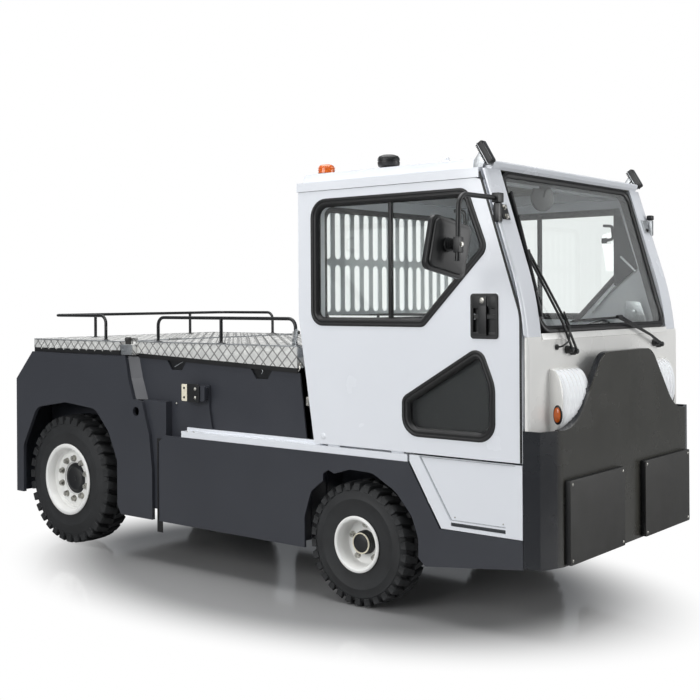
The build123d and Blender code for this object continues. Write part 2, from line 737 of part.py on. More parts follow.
UPPER_WINDOW = [(WINDOW_REAR, WINDOW_SILL, 70), (WINDOW_REAR, WINDOW_HEAD, 90),
                (seam_x(WINDOW_HEAD) - 92, WINDOW_HEAD, 60), (seam_x(WINDOW_KNEE) - 74, WINDOW_KNEE, 60),
                (seam_x(WINDOW_KNEE) - 414, WINDOW_SILL, 40)]
LOWER_WINDOW = [(LOW_WINDOW_REAR, LOW_WINDOW_SILL, 88), (LOW_WINDOW_FRONT, LOW_WINDOW_SILL, 85),
                (LOW_WINDOW_FRONT, LOW_WINDOW_SILL + 246, 180),
                (LOW_WINDOW_FRONT - 72, LOW_WINDOW_SILL + 421, 55),
                (LOW_WINDOW_REAR, LOW_WINDOW_SILL + 174, 45)]
SEAL_WIDE = 42.0


def window_face(corners, inset):
    return offset(outline(corners), amount=-inset)


def window_solid(corners, inset, y_low, y_high):
    """A window outline drawn in by an inset and made solid between two widths."""
    slab = extrude(window_face(corners, inset), amount=y_high - y_low)
    return Plane.XZ.offset(-y_high) * slab


HANDLE_FRONT = CAB_SEAM - 113.0
HANDLE_REAR = HANDLE_FRONT - 142.0
HANDLE_LOW = 1275.0
HANDLE_HIGH = 1471.0
WELL_DEEP = 20.0
WINDOW_BAR_X = WINDOW_REAR + 471.0
WINDOW_BAR = 18.0


def handle_wells(deep):
    """The two hand wells of the door handle, cut inward from its face."""
    face = -HALF_WIDTH - HANDLE_PROUD
    wells = []
    for low, high in ((HANDLE_LOW + 14, HANDLE_LOW + 88), (HANDLE_LOW + 104, HANDLE_LOW + 142)):
        wells.append(side_slab([(HANDLE_REAR + 14, low, 12), (HANDLE_FRONT - 14, low, 12),
                                (HANDLE_FRONT - 14, high, 12), (HANDLE_REAR + 14, high, 12)],
                               face - 1, face + deep))
    return wells


def door_panel():
    """Right sliding door with two window openings, the handle wells and its lower runners."""
    outer = -HALF_WIDTH
    inner = outer + DOOR_THICK
    panel = side_slab(door_outline(), outer, inner)
    for corners in (UPPER_WINDOW, LOWER_WINDOW):
        panel = panel - window_solid(corners, SEAL_WIDE / 2, outer - 5, inner + 5)
    panel = panel - handle_wells(WELL_DEEP)
    for x in (CAB_REAR + 176, CAB_REAR + 556):
        panel = panel + block(x, x + 70, outer + 10, inner - 6, SILL_TOP + SEAT_GAP, CAB_LOW)
    return panel


def door_glass():
    """The two panes of the right door."""
    middle = -HALF_WIDTH + DOOR_THICK / 2
    return [window_solid(corners, SEAL_WIDE - 6, middle - GLASS / 2, middle + GLASS / 2)
            for corners in (UPPER_WINDOW, LOWER_WINDOW)]


def door_trim():
    """Rubber frames round the panes, the pane bar and the handle of the right door."""
    outer = -HALF_WIDTH
    middle = outer + DOOR_THICK / 2
    bar = block(WINDOW_BAR_X - WINDOW_BAR / 2, WINDOW_BAR_X + WINDOW_BAR / 2, outer + 8,
                outer + DOOR_THICK - 8, 0, BIG)
    pieces = []
    for corners in (UPPER_WINDOW, LOWER_WINDOW):
        ring = window_solid(corners, SEAL_WIDE / 2, outer, outer + DOOR_THICK)
        ring = ring + window_solid(corners, 0, outer - TRIM_PROUD, outer)
        ring = ring - window_solid(corners, SEAL_WIDE, outer - 10, outer + DOOR_THICK + 5)
        if corners is UPPER_WINDOW:
            opening = window_solid(corners, SEAL_WIDE - 2, outer, outer + DOOR_THICK)
            ring = ring + (bar & opening)
        ring = ring - window_solid(corners, SEAL_WIDE - 6, middle - GLASS / 2, middle + GLASS / 2)
        pieces.append(ring)
    plate = side_slab([(HANDLE_REAR, HANDLE_LOW, 14), (HANDLE_FRONT, HANDLE_LOW, 14),
                       (HANDLE_FRONT, HANDLE_HIGH, 14), (HANDLE_REAR, HANDLE_HIGH, 14)],
                      outer - HANDLE_PROUD, outer)
    pieces.append(plate - handle_wells(WELL_DEEP))
    return pieces


def cab_front(grow, inner_drop):
    """Side-view strip along the seam, from the cowl's foot to the roof."""
    front, back = CAB_SEAM + grow, CAB_SEAM + inner_drop
    top_x = seam_x(PILLAR_TOP)
    return [(top_x + inner_drop, PILLAR_TOP), (top_x + grow, PILLAR_TOP),
            (front, CAB_BEND_Z, 1400), (front, BUMPER_LOW), (back, BUMPER_LOW),
            (back, CAB_BEND_Z, 1300)]


def pillar():
    """Right front pillar: a post behind the seam and the outer strip before it."""
    edge = -HALF_WIDTH + DOOR_THICK + DOOR_CLEAR
    inner = side_slab(cab_front(PILLAR_GROW - 4, -60), edge, -PILLAR_IN)
    outer = side_slab(cab_front(PILLAR_GROW - 4, SEAM_GAP), -HALF_WIDTH, edge + 5)
    post = inner + outer
    post = post & block(0, BIG, -HALF_WIDTH - 5, 0, COWL_TOP + SEAT_GAP, PILLAR_TOP)
    post = post - block(0, GUTTER_FRONT + SEAT_GAP, -BIG, -CAB_SIDE, CAB_TOP, BIG)
    front = post.edges().filter_by(lambda e: abs(e.center().Y + HALF_WIDTH) < 0.1)
    front = front.sort_by(Axis.X)[-2:]
    return fillet(front, 14)


def rear_post():
    """Right rear corner post of the cab."""
    corners = [(CAB_REAR + 8, CAB_TOP), (CAB_REAR + 70, CAB_TOP),
               (CAB_REAR + 70, REAR_BEND_Z, 200),
               (CAB_REAR + REAR_LEAN + 70, PLATFORM_Z), (CAB_REAR + REAR_LEAN + 12, PLATFORM_Z),
               (CAB_REAR + 8, REAR_BEND_Z, 200)]
    return side_slab(corners, -CAB_SIDE, -PILLAR_IN)


REAR_GLASS_LOW = 1335.0
REAR_GLASS_HIGH = CAB_TOP - 70.0
REAR_GLASS_HALF = 590.0
REAR_GLASS_R = 60.0


def cab_rear_wall():
    """Rear wall between the posts with the rear window opening."""
    corners = [(CAB_REAR + 8, CAB_TOP), (CAB_REAR + 8 + WALL, CAB_TOP),
               (CAB_REAR + 8 + WALL, REAR_BEND_Z), (CAB_REAR + REAR_LEAN + 12 + WALL, PLATFORM_Z),
               (CAB_REAR + REAR_LEAN + 12, PLATFORM_Z), (CAB_REAR + 8, REAR_BEND_Z)]
    wall = side_slab(corners, -PILLAR_IN, PILLAR_IN)
    half, low, high, bend = REAR_GLASS_HALF, REAR_GLASS_LOW, REAR_GLASS_HIGH, REAR_GLASS_R
    hole = front_slab([(-half, low, bend), (-half, high, bend), (half, high, bend),
                       (half, low, bend)], CAB_REAR - 50, CAB_REAR + 100)
    return wall - hole


GUARD_PITCH = 78.0
GUARD_SLOT = 45.0
GUARD_BRIDGE = 30.0


def window_guard():
    """Steel guard behind the rear window with two rows of slots."""
    half = REAR_GLASS_HALF + 25
    low, high = REAR_GLASS_LOW + 35, REAR_GLASS_HIGH + 25
    x = CAB_REAR + 8
    plate = front_slab([(-half, low, 20), (-half, high, 20), (half, high, 20), (half, low, 20)],
                       x - 5, x)
    slots = []
    count = int(2 * (half - 20) / GUARD_PITCH)
    reach = GUARD_SLOT / 2
    lowest, highest = low + 15, high - 36
    slot_high = (highest - lowest - GUARD_BRIDGE) / 2
    for bottom in (lowest, highest - slot_high):
        top = bottom + slot_high
        for index in range(count):
            y = (index - (count - 1) / 2) * GUARD_PITCH
            slots.append(front_slab([(y - reach, bottom, reach - 1), (y - reach, top, reach - 1),
                                     (y + reach, top, reach - 1), (y + reach, bottom, reach - 1)],
                                    x - 6, x + 1))
    return plate - slots


def rear_glass():
    x = CAB_REAR + 8 + WALL / 2
    half = REAR_GLASS_HALF - SEAT_GAP
    low, high = REAR_GLASS_LOW + SEAT_GAP, REAR_GLASS_HIGH - SEAT_GAP
    bend = REAR_GLASS_R - SEAT_GAP
    corners = [(-half, low, bend), (-half, high, bend), (half, high, bend), (half, low, bend)]
    return front_slab(corners, x - GLASS / 2, x + GLASS / 2)


WIND_LOW_X = COWL_FRONT - 37.0
WIND_LOW_Z = COWL_TOP + 3.0
WIND_TOP_Z = PILLAR_TOP - 4.0
WIND_RAKE = 0.2939
WIND_TOP_X = WIND_LOW_X - WIND_RAKE * (WIND_TOP_Z - WIND_LOW_Z)


def wind_plane(offset_out):
    """Sketch plane of the windshield: x to the left, y up the slope."""
    rise = WIND_TOP_Z - WIND_LOW_Z
    back = WIND_LOW_X - WIND_TOP_X
    length = math.hypot(rise, back)
    normal = (rise / length, 0, back / length)
    origin = (WIND_LOW_X + normal[0] * offset_out, 0, WIND_LOW_Z + normal[2] * offset_out)
    return Plane(origin=origin, x_dir=(0, 1, 0), z_dir=normal)


def wind_slab(half, low, high, radius, out_low, out_high):
    """Rounded sheet in the windshield's plane, by distances up the slope."""
    face = outline([(-half, low, radius), (half, low, radius), (half, high, radius),
                    (-half, high, radius)])
    return extrude(wind_plane(out_low) * face, out_high - out_low)


def wind_length():
    return math.hypot(WIND_TOP_Z - WIND_LOW_Z, WIND_LOW_X - WIND_TOP_X)


def windshield():
    half = PILLAR_IN - 30
    return wind_slab(half, 30, wind_length() - 34, 45, -GLASS, 0)


def glass_seals():
    """Rubber frame of the windshield and of the rear window."""
    half = PILLAR_IN - SEAT_GAP
    ring = wind_slab(half, SEAT_GAP * 2, wind_length() - 4, 70, -14, 8)
    ring = ring - wind_slab(half - 42, 42, wind_length() - 46, 40, -30, 30)
    ring = ring - windshield()
    return [ring]


def cab_cowl():
    """White front cowl below the windshield with rounded corners."""
    front = COWL_FRONT
    back = CAB_SEAM + SEAM_GAP
    side = HALF_WIDTH - 60
    plan = [(back, -HALF_WIDTH), (front, -HALF_WIDTH, 15), (front, HALF_WIDTH, 15),
            (back, HALF_WIDTH), (back, side), (front - COWL_WALL, side),
            (front - COWL_WALL, -side), (back, -side)]
    body = plan_slab(plan, BUMPER_LOW + 20, COWL_TOP)
    body = body & side_slab(cab_front(PILLAR_GROW - 2, -80), -HALF_WIDTH, HALF_WIDTH)
    inside = HALF_WIDTH - PLATE - SEAT_GAP
    low = BUMPER_TOP + SEAT_GAP
    return body - block(0, BIG, -BIG, -inside, 0, low) - block(0, BIG, inside, BIG, 0, low)


def cab_roof():
    """Roof pan with a visor over the windshield, resting on the pillars."""
    low = CAB_TOP + SEAT_GAP
    front_low = PILLAR_TOP + SEAT_GAP
    corners = [(CAB_REAR - 6, low), (VISOR_REAR, low), (VISOR_REAR, front_low),
               (ROOF_FRONT - 12, front_low), (ROOF_FRONT, front_low + 12),
               (ROOF_FRONT + 6, ROOF_TOP - 17, 8), (ROOF_FRONT - 60, ROOF_TOP - 2),
               (CAB_REAR + 14, ROOF_TOP), (CAB_REAR - 6, ROOF_TOP - 18)]
    half = HALF_WIDTH - 46 - SEAT_GAP
    roof = side_slab(corners, -half, half)
    inner = block(CAB_REAR + 80, VISOR_REAR - 46, -PILLAR_IN, PILLAR_IN, CAB_TOP - 20, ROOF_TOP - 34)
    return roof - inner


SEAT_INNER = 120.0
SEAT_OUTER = 600.0
SEAT_REAR = CAB_REAR + 226.0
SEAT_FRONT = SEAT_REAR + 490.0
SEAT_BOX = 190.0
CUSHION = 100.0
BACK_TOP = 1290.0
BACK_LEAN = 60.0


def seat_sides():
    """Width limits of the right and the left seat."""
    return (-SEAT_OUTER, -SEAT_INNER), (SEAT_INNER, SEAT_OUTER)


def cab_floor():
    """Footwell floor, riser and seat platform, with two seat boxes."""
    half = HALF_WIDTH - 18 - SEAT_GAP
    rear = CAB_REAR + REAR_LEAN + 12
    corners = [(rear, PLATFORM_Z - FLOOR_PLATE), (RISER_X, PLATFORM_Z - FLOOR_PLATE),
               (RISER_X, FLOOR_Z - FLOOR_PLATE), (CAB_SEAM, FLOOR_Z - FLOOR_PLATE),
               (CAB_SEAM, FLOOR_Z), (RISER_X + FLOOR_PLATE, FLOOR_Z),
               (RISER_X + FLOOR_PLATE, PLATFORM_Z), (rear, PLATFORM_Z)]
    body = side_slab(corners, -half, half)
    for low, high in seat_sides():
        body = body + block(SEAT_REAR - 20, SEAT_FRONT - 40, low + 10, high - 10, PLATFORM_Z,
                            PLATFORM_Z + SEAT_BOX)
    return body


def seat_cushions():
    foot = PLATFORM_Z + SEAT_BOX
    return [block(SEAT_REAR, SEAT_FRONT, low, high, foot + SEAT_GAP, foot + CUSHION)
            for low, high in seat_sides()]


def seat_backs():
    """Leaning backrests behind the cushions."""
    foot = PLATFORM_Z + SEAT_BOX + SEAT_GAP
    front = SEAT_REAR - 1
    corners = [(SEAT_REAR - 10, foot), (front, foot), (front, foot + CUSHION + 9.7),
               (front - BACK_LEAN + 1, BACK_TOP), (front - BACK_LEAN - 74, BACK_TOP),
               (SEAT_REAR - 90, foot)]
    return [side_slab(corners, low, high) for low, high in seat_sides()]


DASH_REAR = COWL_FRONT - 207.0
DASH_TOP = COWL_TOP - 23.0
DASH_LOW = 900.0


def dashboard():
    """Dash across the cab behind the cowl."""
    front = COWL_FRONT - COWL_WALL
    corners = [(front, DASH_LOW), (front, DASH_TOP), (DASH_REAR + 100, DASH_TOP),
               (DASH_REAR, DASH_TOP - 62, 20), (DASH_REAR, DASH_LOW + 140),
               (DASH_REAR + 80, DASH_LOW)]
    return side_slab(corners, -PILLAR_IN + 20, PILLAR_IN - 20)


COLUMN_LENGTH = 375.0
WHEEL_GRIP_R = 185.0
WHEEL_GRIP = 13.0
WHEEL_LEAN = 38.0


def steering_wheel():
    """Steering wheel on its column at the left seat."""
    hub = Pos(SEAT_FRONT + 200, (SEAT_INNER + SEAT_OUTER) / 2, DASH_TOP - 52) * Rot(0, -WHEEL_LEAN, 0)
    wheel = revolve(Plane.XZ * Pos(WHEEL_GRIP_R, 0) * RegularPolygon(WHEEL_GRIP, 8), Axis.Z)
    spokes = Box(2 * WHEEL_GRIP_R - 10, 30, 12) + Cylinder(38, 26)
    column = Pos(0, 0, -COLUMN_LENGTH / 2) * Cylinder(24, COLUMN_LENGTH)
    return hub * (wheel + spokes + column) - Pos(-SEAT_GAP, 0, 0) * dashboard()


# Lamps, mirrors and wipers

HEADLAMP_BULGE = 52.0


HEADLAMP_INNER = 350.0
HEADLAMP_WIDE = 228.0
HEADLAMP_TOP = 1158.0
LAMP_RIB_PITCH = 38.0
LAMP_RIB_PROUD = 2.5


def lamp_barrel(bulge, y_low, y_high):
    """Part of the headlamp cluster whose face bulges from the cowl."""
    low = BUMPER_TOP + 2
    arc = ThreePointArc((COWL_FRONT, low), (COWL_FRONT + bulge, (low + HEADLAMP_TOP) / 2 - 12),
                        (COWL_FRONT, HEADLAMP_TOP))
    face = make_face([arc, Line((COWL_FRONT, HEADLAMP_TOP), (COWL_FRONT, low))])
    return Plane.XZ.offset(-y_high) * extrude(face, y_high - y_low)


def headlamp():
    """Right headlamp cluster with ribs across its glass."""
    low = -HEADLAMP_INNER - HEADLAMP_WIDE
    lamp = lamp_barrel(HEADLAMP_BULGE, low, -HEADLAMP_INNER)
    for index in range(1, int(HEADLAMP_WIDE / LAMP_RIB_PITCH)):
        y = low + index * LAMP_RIB_PITCH
        lamp = lamp + lamp_barrel(HEADLAMP_BULGE + LAMP_RIB_PROUD, y - 3, y + 3)
    return lamp


def marker_lamps():
    """Amber side markers on the headlamps and red lamps on the rear panel."""
    outside = -HEADLAMP_INNER - HEADLAMP_WIDE
    oval = Pos(COWL_FRONT + 23, outside, 975) * Rot(90, 0, 0) * extrude(Ellipse(17, 39), 9)
    tail = block(REAR_END - 30, REAR_END, -700, -580, 760, 860)
    tail = fillet(tail.edges().filter_by(Axis.X), 12)
    return both(oval) + both(tail)


BEACON_X = CAB_REAR + 48.0
BEACON_Y = -600.0
WORK_LAMP_X = CAB_REAR + 406.0
WORK_LAMP_Y = -560.0


def roof_lamps():
    """Two corner lamps, the beacon and the round work lamp on the roof."""
    z = CAB_TOP + 108
    y = -HALF_WIDTH + 24
    lamp = Pos(GUTTER_FRONT + 22, y, z) * Rot(0, -31, 0) * Box(38, 32, 108)
    rear = GUTTER_FRONT - 48
    bracket = block(rear, rear + 46, y + 2, y + 8, CAB_TOP + GUTTER_HIGH + SEAT_GAP, z + 2)
    brace = block(rear, GUTTER_FRONT + 22, y + 2, y + 8, z - 18, z + 2)
    pieces = both(lamp + bracket + brace)
    pieces.append(rod_z(BEACON_X, BEACON_Y, 46, ROOF_TOP, ROOF_TOP + 60))
    pieces.append(rod_z(WORK_LAMP_X, WORK_LAMP_Y, 54, ROOF_TOP, ROOF_TOP + 80))
    return pieces


MIRROR_HIGH = CAB_TOP - 75.0
MIRROR_LOW = MIRROR_HIGH - 115.0
MIRROR_X = seam_x(MIRROR_HIGH - 20) + 38.4
MIRROR_ARM_OUT = 260.0
MIRROR_ARM_R = 9.0
CLAMP_BACK = 14.0
CLAMP_FRONT = 46.0


def mirror_clamp():
    """Clamp of a mirror arm round the outer corner of the right front pillar."""
    low, high = seam_x(MIRROR_LOW), seam_x(MIRROR_HIGH)
    bar = side_slab([(low + CLAMP_BACK, MIRROR_LOW), (low + CLAMP_FRONT, MIRROR_LOW),
                     (high + CLAMP_FRONT, MIRROR_HIGH), (high + CLAMP_BACK, MIRROR_HIGH)],
                    -HALF_WIDTH - HANDLE_PROUD, -HALF_WIDTH + 24)
    return bar - pillar()


def mirrors():
    """Right mirror on its arm and clamp, and the bare clamp of the left one."""
    y = -HALF_WIDTH
    arm_y = y - MIRROR_ARM_OUT
    arm_z = MIRROR_HIGH - 20
    arm = tube([(MIRROR_X, y - 2, arm_z), (MIRROR_X, arm_y, arm_z), (MIRROR_X, arm_y, arm_z - 275)],
               40, MIRROR_ARM_R)
    head = Box(44, 200, 235)
    head = Rot(6, 9, 0) * fillet(head.edges().filter_by(Axis.X), 22)
    head_y = -MIRROR_OUT - head.bounding_box().min.Y
    right = arm + mirror_clamp() + Pos(MIRROR_X, head_y, MIRROR_HIGH - 165) * head
    return [right, left_of(mirror_clamp())]


def rod_between(start, end, radius):
    """Straight round bar between two points."""
    axis = Vector(end) - Vector(start)
    bar = Cylinder(radius, axis.length)
    return Plane(origin=(Vector(start) + Vector(end)) / 2, z_dir=axis) * bar


def on_glass(y, up, out):
    """Point before the windshield, by width, distance up the slope and height off the pane."""
    plane = wind_plane(out)
    return plane.origin + plane.x_dir * y + plane.y_dir * up


def wipers():
    """Two wipers: hub on the cowl, arm and blade before the windshield."""
    pieces = []
    tall = wind_length()
    # hub's width, then width and height share of the blade's foot and tip
    for y, foot, tip in ((-430.0, (-560, 0.2 * tall), (-600, 0.855 * tall)),
                         (472.0, (470, 0.083 * tall), (-130, 0.112 * tall))):
        hub = rod_x(y, 1222, 15, COWL_FRONT - COWL_WALL / 2, COWL_FRONT + 34)
        hub = hub - Pos(SEAT_GAP, 0, 0) * cab_cowl()
        hub_top = Vector(COWL_FRONT + 26, y, 1222)
        middle = ((foot[0] + tip[0]) / 2, (foot[1] + tip[1]) / 2)
        arm = rod_between(hub_top, on_glass(middle[0], middle[1], 34), 7)
        blade = rod_between(on_glass(foot[0], foot[1], 26), on_glass(tip[0], tip[1], 26), 6)
        pieces.append(hub + arm + blade)
    return pieces


# Deck lids

def lid_seals():
    """Black bands under the edges of the two lids."""
    half = REAR_LID_HALF - 1
    rear, front = REAR_LID_REAR + 1, REAR_LID_FRONT - 1
    low, high = DECK_Z, LID_TOP - REAR_FLANGE - SEAT_GAP
    ring = block(rear, front, -half, half, low, high)
    ring = ring - block(rear + SEAL_BAND, front - SEAL_BAND, -half + SEAL_BAND,
                        half - SEAL_BAND, 0, BIG)
    bands = [ring]
    band = side_slab([(BAY_REAR + 8, lid_slope(BAY_REAR + 8) - SEAL_HIGH),
                      (BAY_REAR + 8, lid_slope(BAY_REAR + 8) - SEAT_GAP),
                      (BAY_FRONT, lid_slope(BAY_FRONT) - SEAT_GAP),
                      (BAY_FRONT, lid_slope(BAY_FRONT) - SEAL_HIGH)],
                     -FRONT_LID_HALF + 1, -BAY_HALF + 8)
    return bands + both(band)


def deck_bridge():
    """Fixed cross channel between the lids with two black stops."""
    half = HALF_WIDTH - SIDE_PLATE
    top = LID_TOP - 18
    body = block(REAR_LID_FRONT + 4, BAY_REAR - 4, -half, half, DECK_Z, top)
    body = body - block(REAR_LID_FRONT + 12, BAY_REAR - 12, -half + 8, half - 8, 0, top - 6)
    for side in (-1, 1):
        body = body + rod_z(TUB_FRONT + 14, side * (half - 60), 16, top, top + 36)
    x, z = front_hinge_place()
    for y in (-HINGE_Y, HINGE_Y):
        leaf = block(x - HINGE_R, x - 3, y - HINGE_MIDDLE / 2, y + HINGE_MIDDLE / 2, top - 9, z)
        body = body + leaf + fixed_knuckle(x, z, y)
    return body


def rear_lid():
    """Rear lid: a shallow pan over the storage tub."""
    low = LID_TOP - REAR_FLANGE
    lid = block(REAR_LID_REAR, REAR_LID_FRONT, -REAR_LID_HALF, REAR_LID_HALF, low, LID_TOP)
    s = LID_SKIN
    lid = lid - block(REAR_LID_REAR + s, REAR_LID_FRONT - s, -REAR_LID_HALF + s,
                      REAR_LID_HALF - s, 0, LID_TOP - s)
    x, z = rear_hinge_place()
    for y in (-HINGE_Y, HINGE_Y):
        for barrel in lid_knuckles(x, z, y):
            box = barrel.bounding_box()
            leaf = block(x, REAR_LID_REAR + s / 2, box.min.Y, box.max.Y, low, low + HINGE_R - 2)
            lid = lid + barrel + leaf
    return lid - hinge_bore(x, z)


def front_lid():
    """Battery lid: a pan whose flange gets deeper towards the cab."""
    corners = [(BAY_REAR, lid_slope(BAY_REAR)), (BAY_REAR, LID_TOP), (BAY_FRONT, LID_TOP),
               (BAY_FRONT, lid_slope(BAY_FRONT))]
    lid = side_slab(corners, -FRONT_LID_HALF, FRONT_LID_HALF)
    s = LID_SKIN
    lid = lid - block(BAY_REAR + s, BAY_FRONT - s, -FRONT_LID_HALF + s, FRONT_LID_HALF - s,
                      0, LID_TOP - s)
    x, z = front_hinge_place()
    room = HINGE_MIDDLE / 2 + HINGE_PLAY
    for y in (-HINGE_Y, HINGE_Y):
        lid = lid - rod_y(x, z, HINGE_R + 1.5, y - room, y + room)
        for barrel in lid_knuckles(x, z, y):
            lid = lid + barrel
    return lid - hinge_bore(x, z)


def rear_lid_rail():
    """Black tube rail round the back of the rear lid."""
    y = REAR_LID_HALF - 45
    top = LID_TOP + RAIL_HEIGHT
    rear, front = REAR_LID_REAR + 147, REAR_LID_FRONT - 178
    path = [(front, -y, LID_TOP), (front, -y, top), (rear, -y, top), (rear, y, top),
            (front, y, top), (front, y, LID_TOP)]
    rail = tube(path, RAIL_BEND, RAIL_TUBE_R)
    for post_y in (-400.0, 400.0):
        rail = rail + rod_z(rear, post_y, RAIL_TUBE_R, LID_TOP, top)
    return rail


def front_lid_rails():
    """Black tube rail along each side of the battery lid."""
    y = FRONT_LID_HALF - 30
    top = LID_TOP + RAIL_HEIGHT - 8
    rear, front = BAY_REAR + 144, BAY_FRONT - 35
    path = [(rear, -y, LID_TOP), (rear, -y, top), (front, -y, top), (front, -y, LID_TOP)]
    rail = tube(path, RAIL_BEND, RAIL_TUBE_R)
    rail = rail + rod_z(rear + 500, -y, RAIL_TUBE_R, LID_TOP, top)
    return both(rail)


def main():
    os.makedirs("parts", exist_ok=True)
    save("frame_rails", frame_rails())
    save("frame_crossmembers", frame_crossmembers())
    save("rear_side_plates", both(rear_side_plate()))
    save("storage_tub", storage_tub())
    save("drive_housing", drive_housing())
    save("rear_panel", rear_panel())
    save("tow_hitch", tow_hitch())
    save("battery", battery())
    save("battery_covers", both(battery_cover()))
    save("side_skirts", both(skirt()))
    save("door_rails", both(sill_rail()) + both(gutter()))
    save("step_panels", both(step_panel()))
    save("front_bumper", front_bumper())
    save("bumper_pads", bumper_pads())
    save("cab_cowl", cab_cowl())
    save("cab_pillars", both(pillar()) + both(rear_post()))
    save("cab_rear_wall", cab_rear_wall())
    save("window_guard", window_guard())
    save("cab_glass", [windshield(), rear_glass()])
    save("glass_seals", glass_seals())
    save("cab_roof", cab_roof())
    save("cab_floor", cab_floor())
    save("dashboard", dashboard())
    save("steering_wheel", steering_wheel())
    save("seat_cushions", seat_cushions())
    save("seat_backs", seat_backs())
    save("headlamps", both(headlamp()))
    save("marker_lamps", marker_lamps())
    save("roof_lamps", roof_lamps())
    save("mirrors", mirrors())
    save("wipers", wipers())
    save("lid_seals", lid_seals())
    save("deck_bridge", deck_bridge())
    save("rear_lid", rear_lid())
    save("rear_lid_rail", rear_lid_rail())
    save("front_lid", front_lid())
    save("front_lid_rails", front_lid_rails())
    save("front_axle", front_axle())
    save("rear_axle", rear_axle())
    save("tie_rod", tie_rod())
    sides = (("right", lambda shape: shape), ("left", left_of))
    for side, turn in sides:
        save("knuckle_" + side, turn(knuckle()))
        save("front_rim_" + side, turn(place_front(front_rim())))
        save("front_tyre_" + side, turn(place_front(front_tyre())))
        save("rear_rim_" + side, turn(place_rear(rear_rim())))
        save("rear_tyre_" + side, turn(place_rear(rear_tyre())))
        save("door_panel_" + side, turn(door_panel()))
        save("door_glass_" + side, [turn(s) for s in door_glass()])
        save("door_trim_" + side, [turn(s) for s in door_trim()])


main()
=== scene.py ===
import math

import bmesh
import bpy
from mathutils import Matrix, Vector


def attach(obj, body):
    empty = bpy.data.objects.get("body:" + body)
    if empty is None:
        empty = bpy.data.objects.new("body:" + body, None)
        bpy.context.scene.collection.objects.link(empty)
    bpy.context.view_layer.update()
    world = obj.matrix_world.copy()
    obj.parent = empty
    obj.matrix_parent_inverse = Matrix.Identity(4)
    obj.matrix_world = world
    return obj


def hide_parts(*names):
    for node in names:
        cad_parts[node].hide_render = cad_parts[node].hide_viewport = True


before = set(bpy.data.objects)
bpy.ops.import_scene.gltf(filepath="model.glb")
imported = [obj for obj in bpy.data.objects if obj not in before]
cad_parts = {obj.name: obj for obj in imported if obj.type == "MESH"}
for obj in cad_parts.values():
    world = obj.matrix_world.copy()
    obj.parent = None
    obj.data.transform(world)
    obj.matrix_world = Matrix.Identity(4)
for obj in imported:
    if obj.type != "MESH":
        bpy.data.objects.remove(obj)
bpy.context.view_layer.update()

# Airport baggage tug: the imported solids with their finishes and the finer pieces.
# Metres, +X forward, +Y to the vehicle's left, +Z up, origin on the ground.

# Places in millimetres are measured from the rear axle, the vehicle's middle plane and the ground.
REAR_AXLE_X = -1.335
MIDDLE_Y = 0.228
SIDE = -760.0
WHEELBASE = 2231.0
REAR_TYRE_R, REAR_TYRE_W, REAR_WHEEL_Y = 382.0, 190.0, 632.0
FRONT_TYRE_R, FRONT_TYRE_W, FRONT_WHEEL_Y = 295.0, 165.0, 664.5
# Rear edge, front edge and half width of each lid.
LIDS = {"rear_lid": (-297, 513, 750), "front_lid": (616, 1825, 709)}
LID_TOP = 1217.0
CATCH_FACE = -749.7
ROOF_TOP = 2061
UP, OUT, AHEAD = (0, 0, 1), (0, -1, 0), (1, 0, 0)
WHITE = (1.0, 1.0, 1.0, 1.0)


# Materials

def linear(code):
    """Linear colour of an sRGB hex code."""
    parts = [int(code[i:i + 2], 16) / 255.0 for i in (1, 3, 5)]
    return tuple(p / 12.92 if p <= 0.04045 else ((p + 0.055) / 1.055) ** 2.4 for p in parts) + (1.0,)


def add(tree, kind, inputs=None, out=0, **settings):
    """Adds a node, of the shader kind where its name says no other, with its settings and gives one output.

    An input is a value, or a socket to link.
    """
    made = tree.nodes.new(kind if "Node" in kind else "ShaderNode" + kind)
    for name, value in settings.items():
        setattr(made, name, value)
    for name, value in (inputs or {}).items():
        if isinstance(value, bpy.types.NodeSocket):
            tree.links.new(value, made.inputs[name])
        else:
            made.inputs[name].default_value = value
    return made.outputs[out] if len(made.outputs) else made


def shade(colour, share):
    return tuple(c * share for c in colour[:3]) + (1.0,)


def field(tree, place, kind, size, detail=2.0, roughness=0.5):
    """A value between 0 and 1 over the surface, with features about size millimetres wide."""
    if kind == "weave":
        warp, weft = [add(tree, "TexWave", {"Vector": place, "Scale": size, "Distortion": 0.6}, "Fac",
                bands_direction=axis) for axis in "YX"]
        return add(tree, "Math", {0: warp, 1: weft}, operation="MULTIPLY")
    scale = 1000.0 / size
    if kind == "streak":
        place = add(tree, "Mapping", {"Vector": place, "Scale": (1.0, 14.0, 14.0)})
    if kind == "grain":
        return add(tree, "TexVoronoi", {"Vector": place, "Scale": scale})
    if kind == "crystal":
        cells = add(tree, "TexVoronoi", {"Vector": place, "Scale": scale}, "Color")
        return add(tree, "SeparateColor", {"Color": cells})
    return add(tree, "TexNoise", {"Vector": place, "Scale": scale, "Detail": detail, "Roughness": roughness})


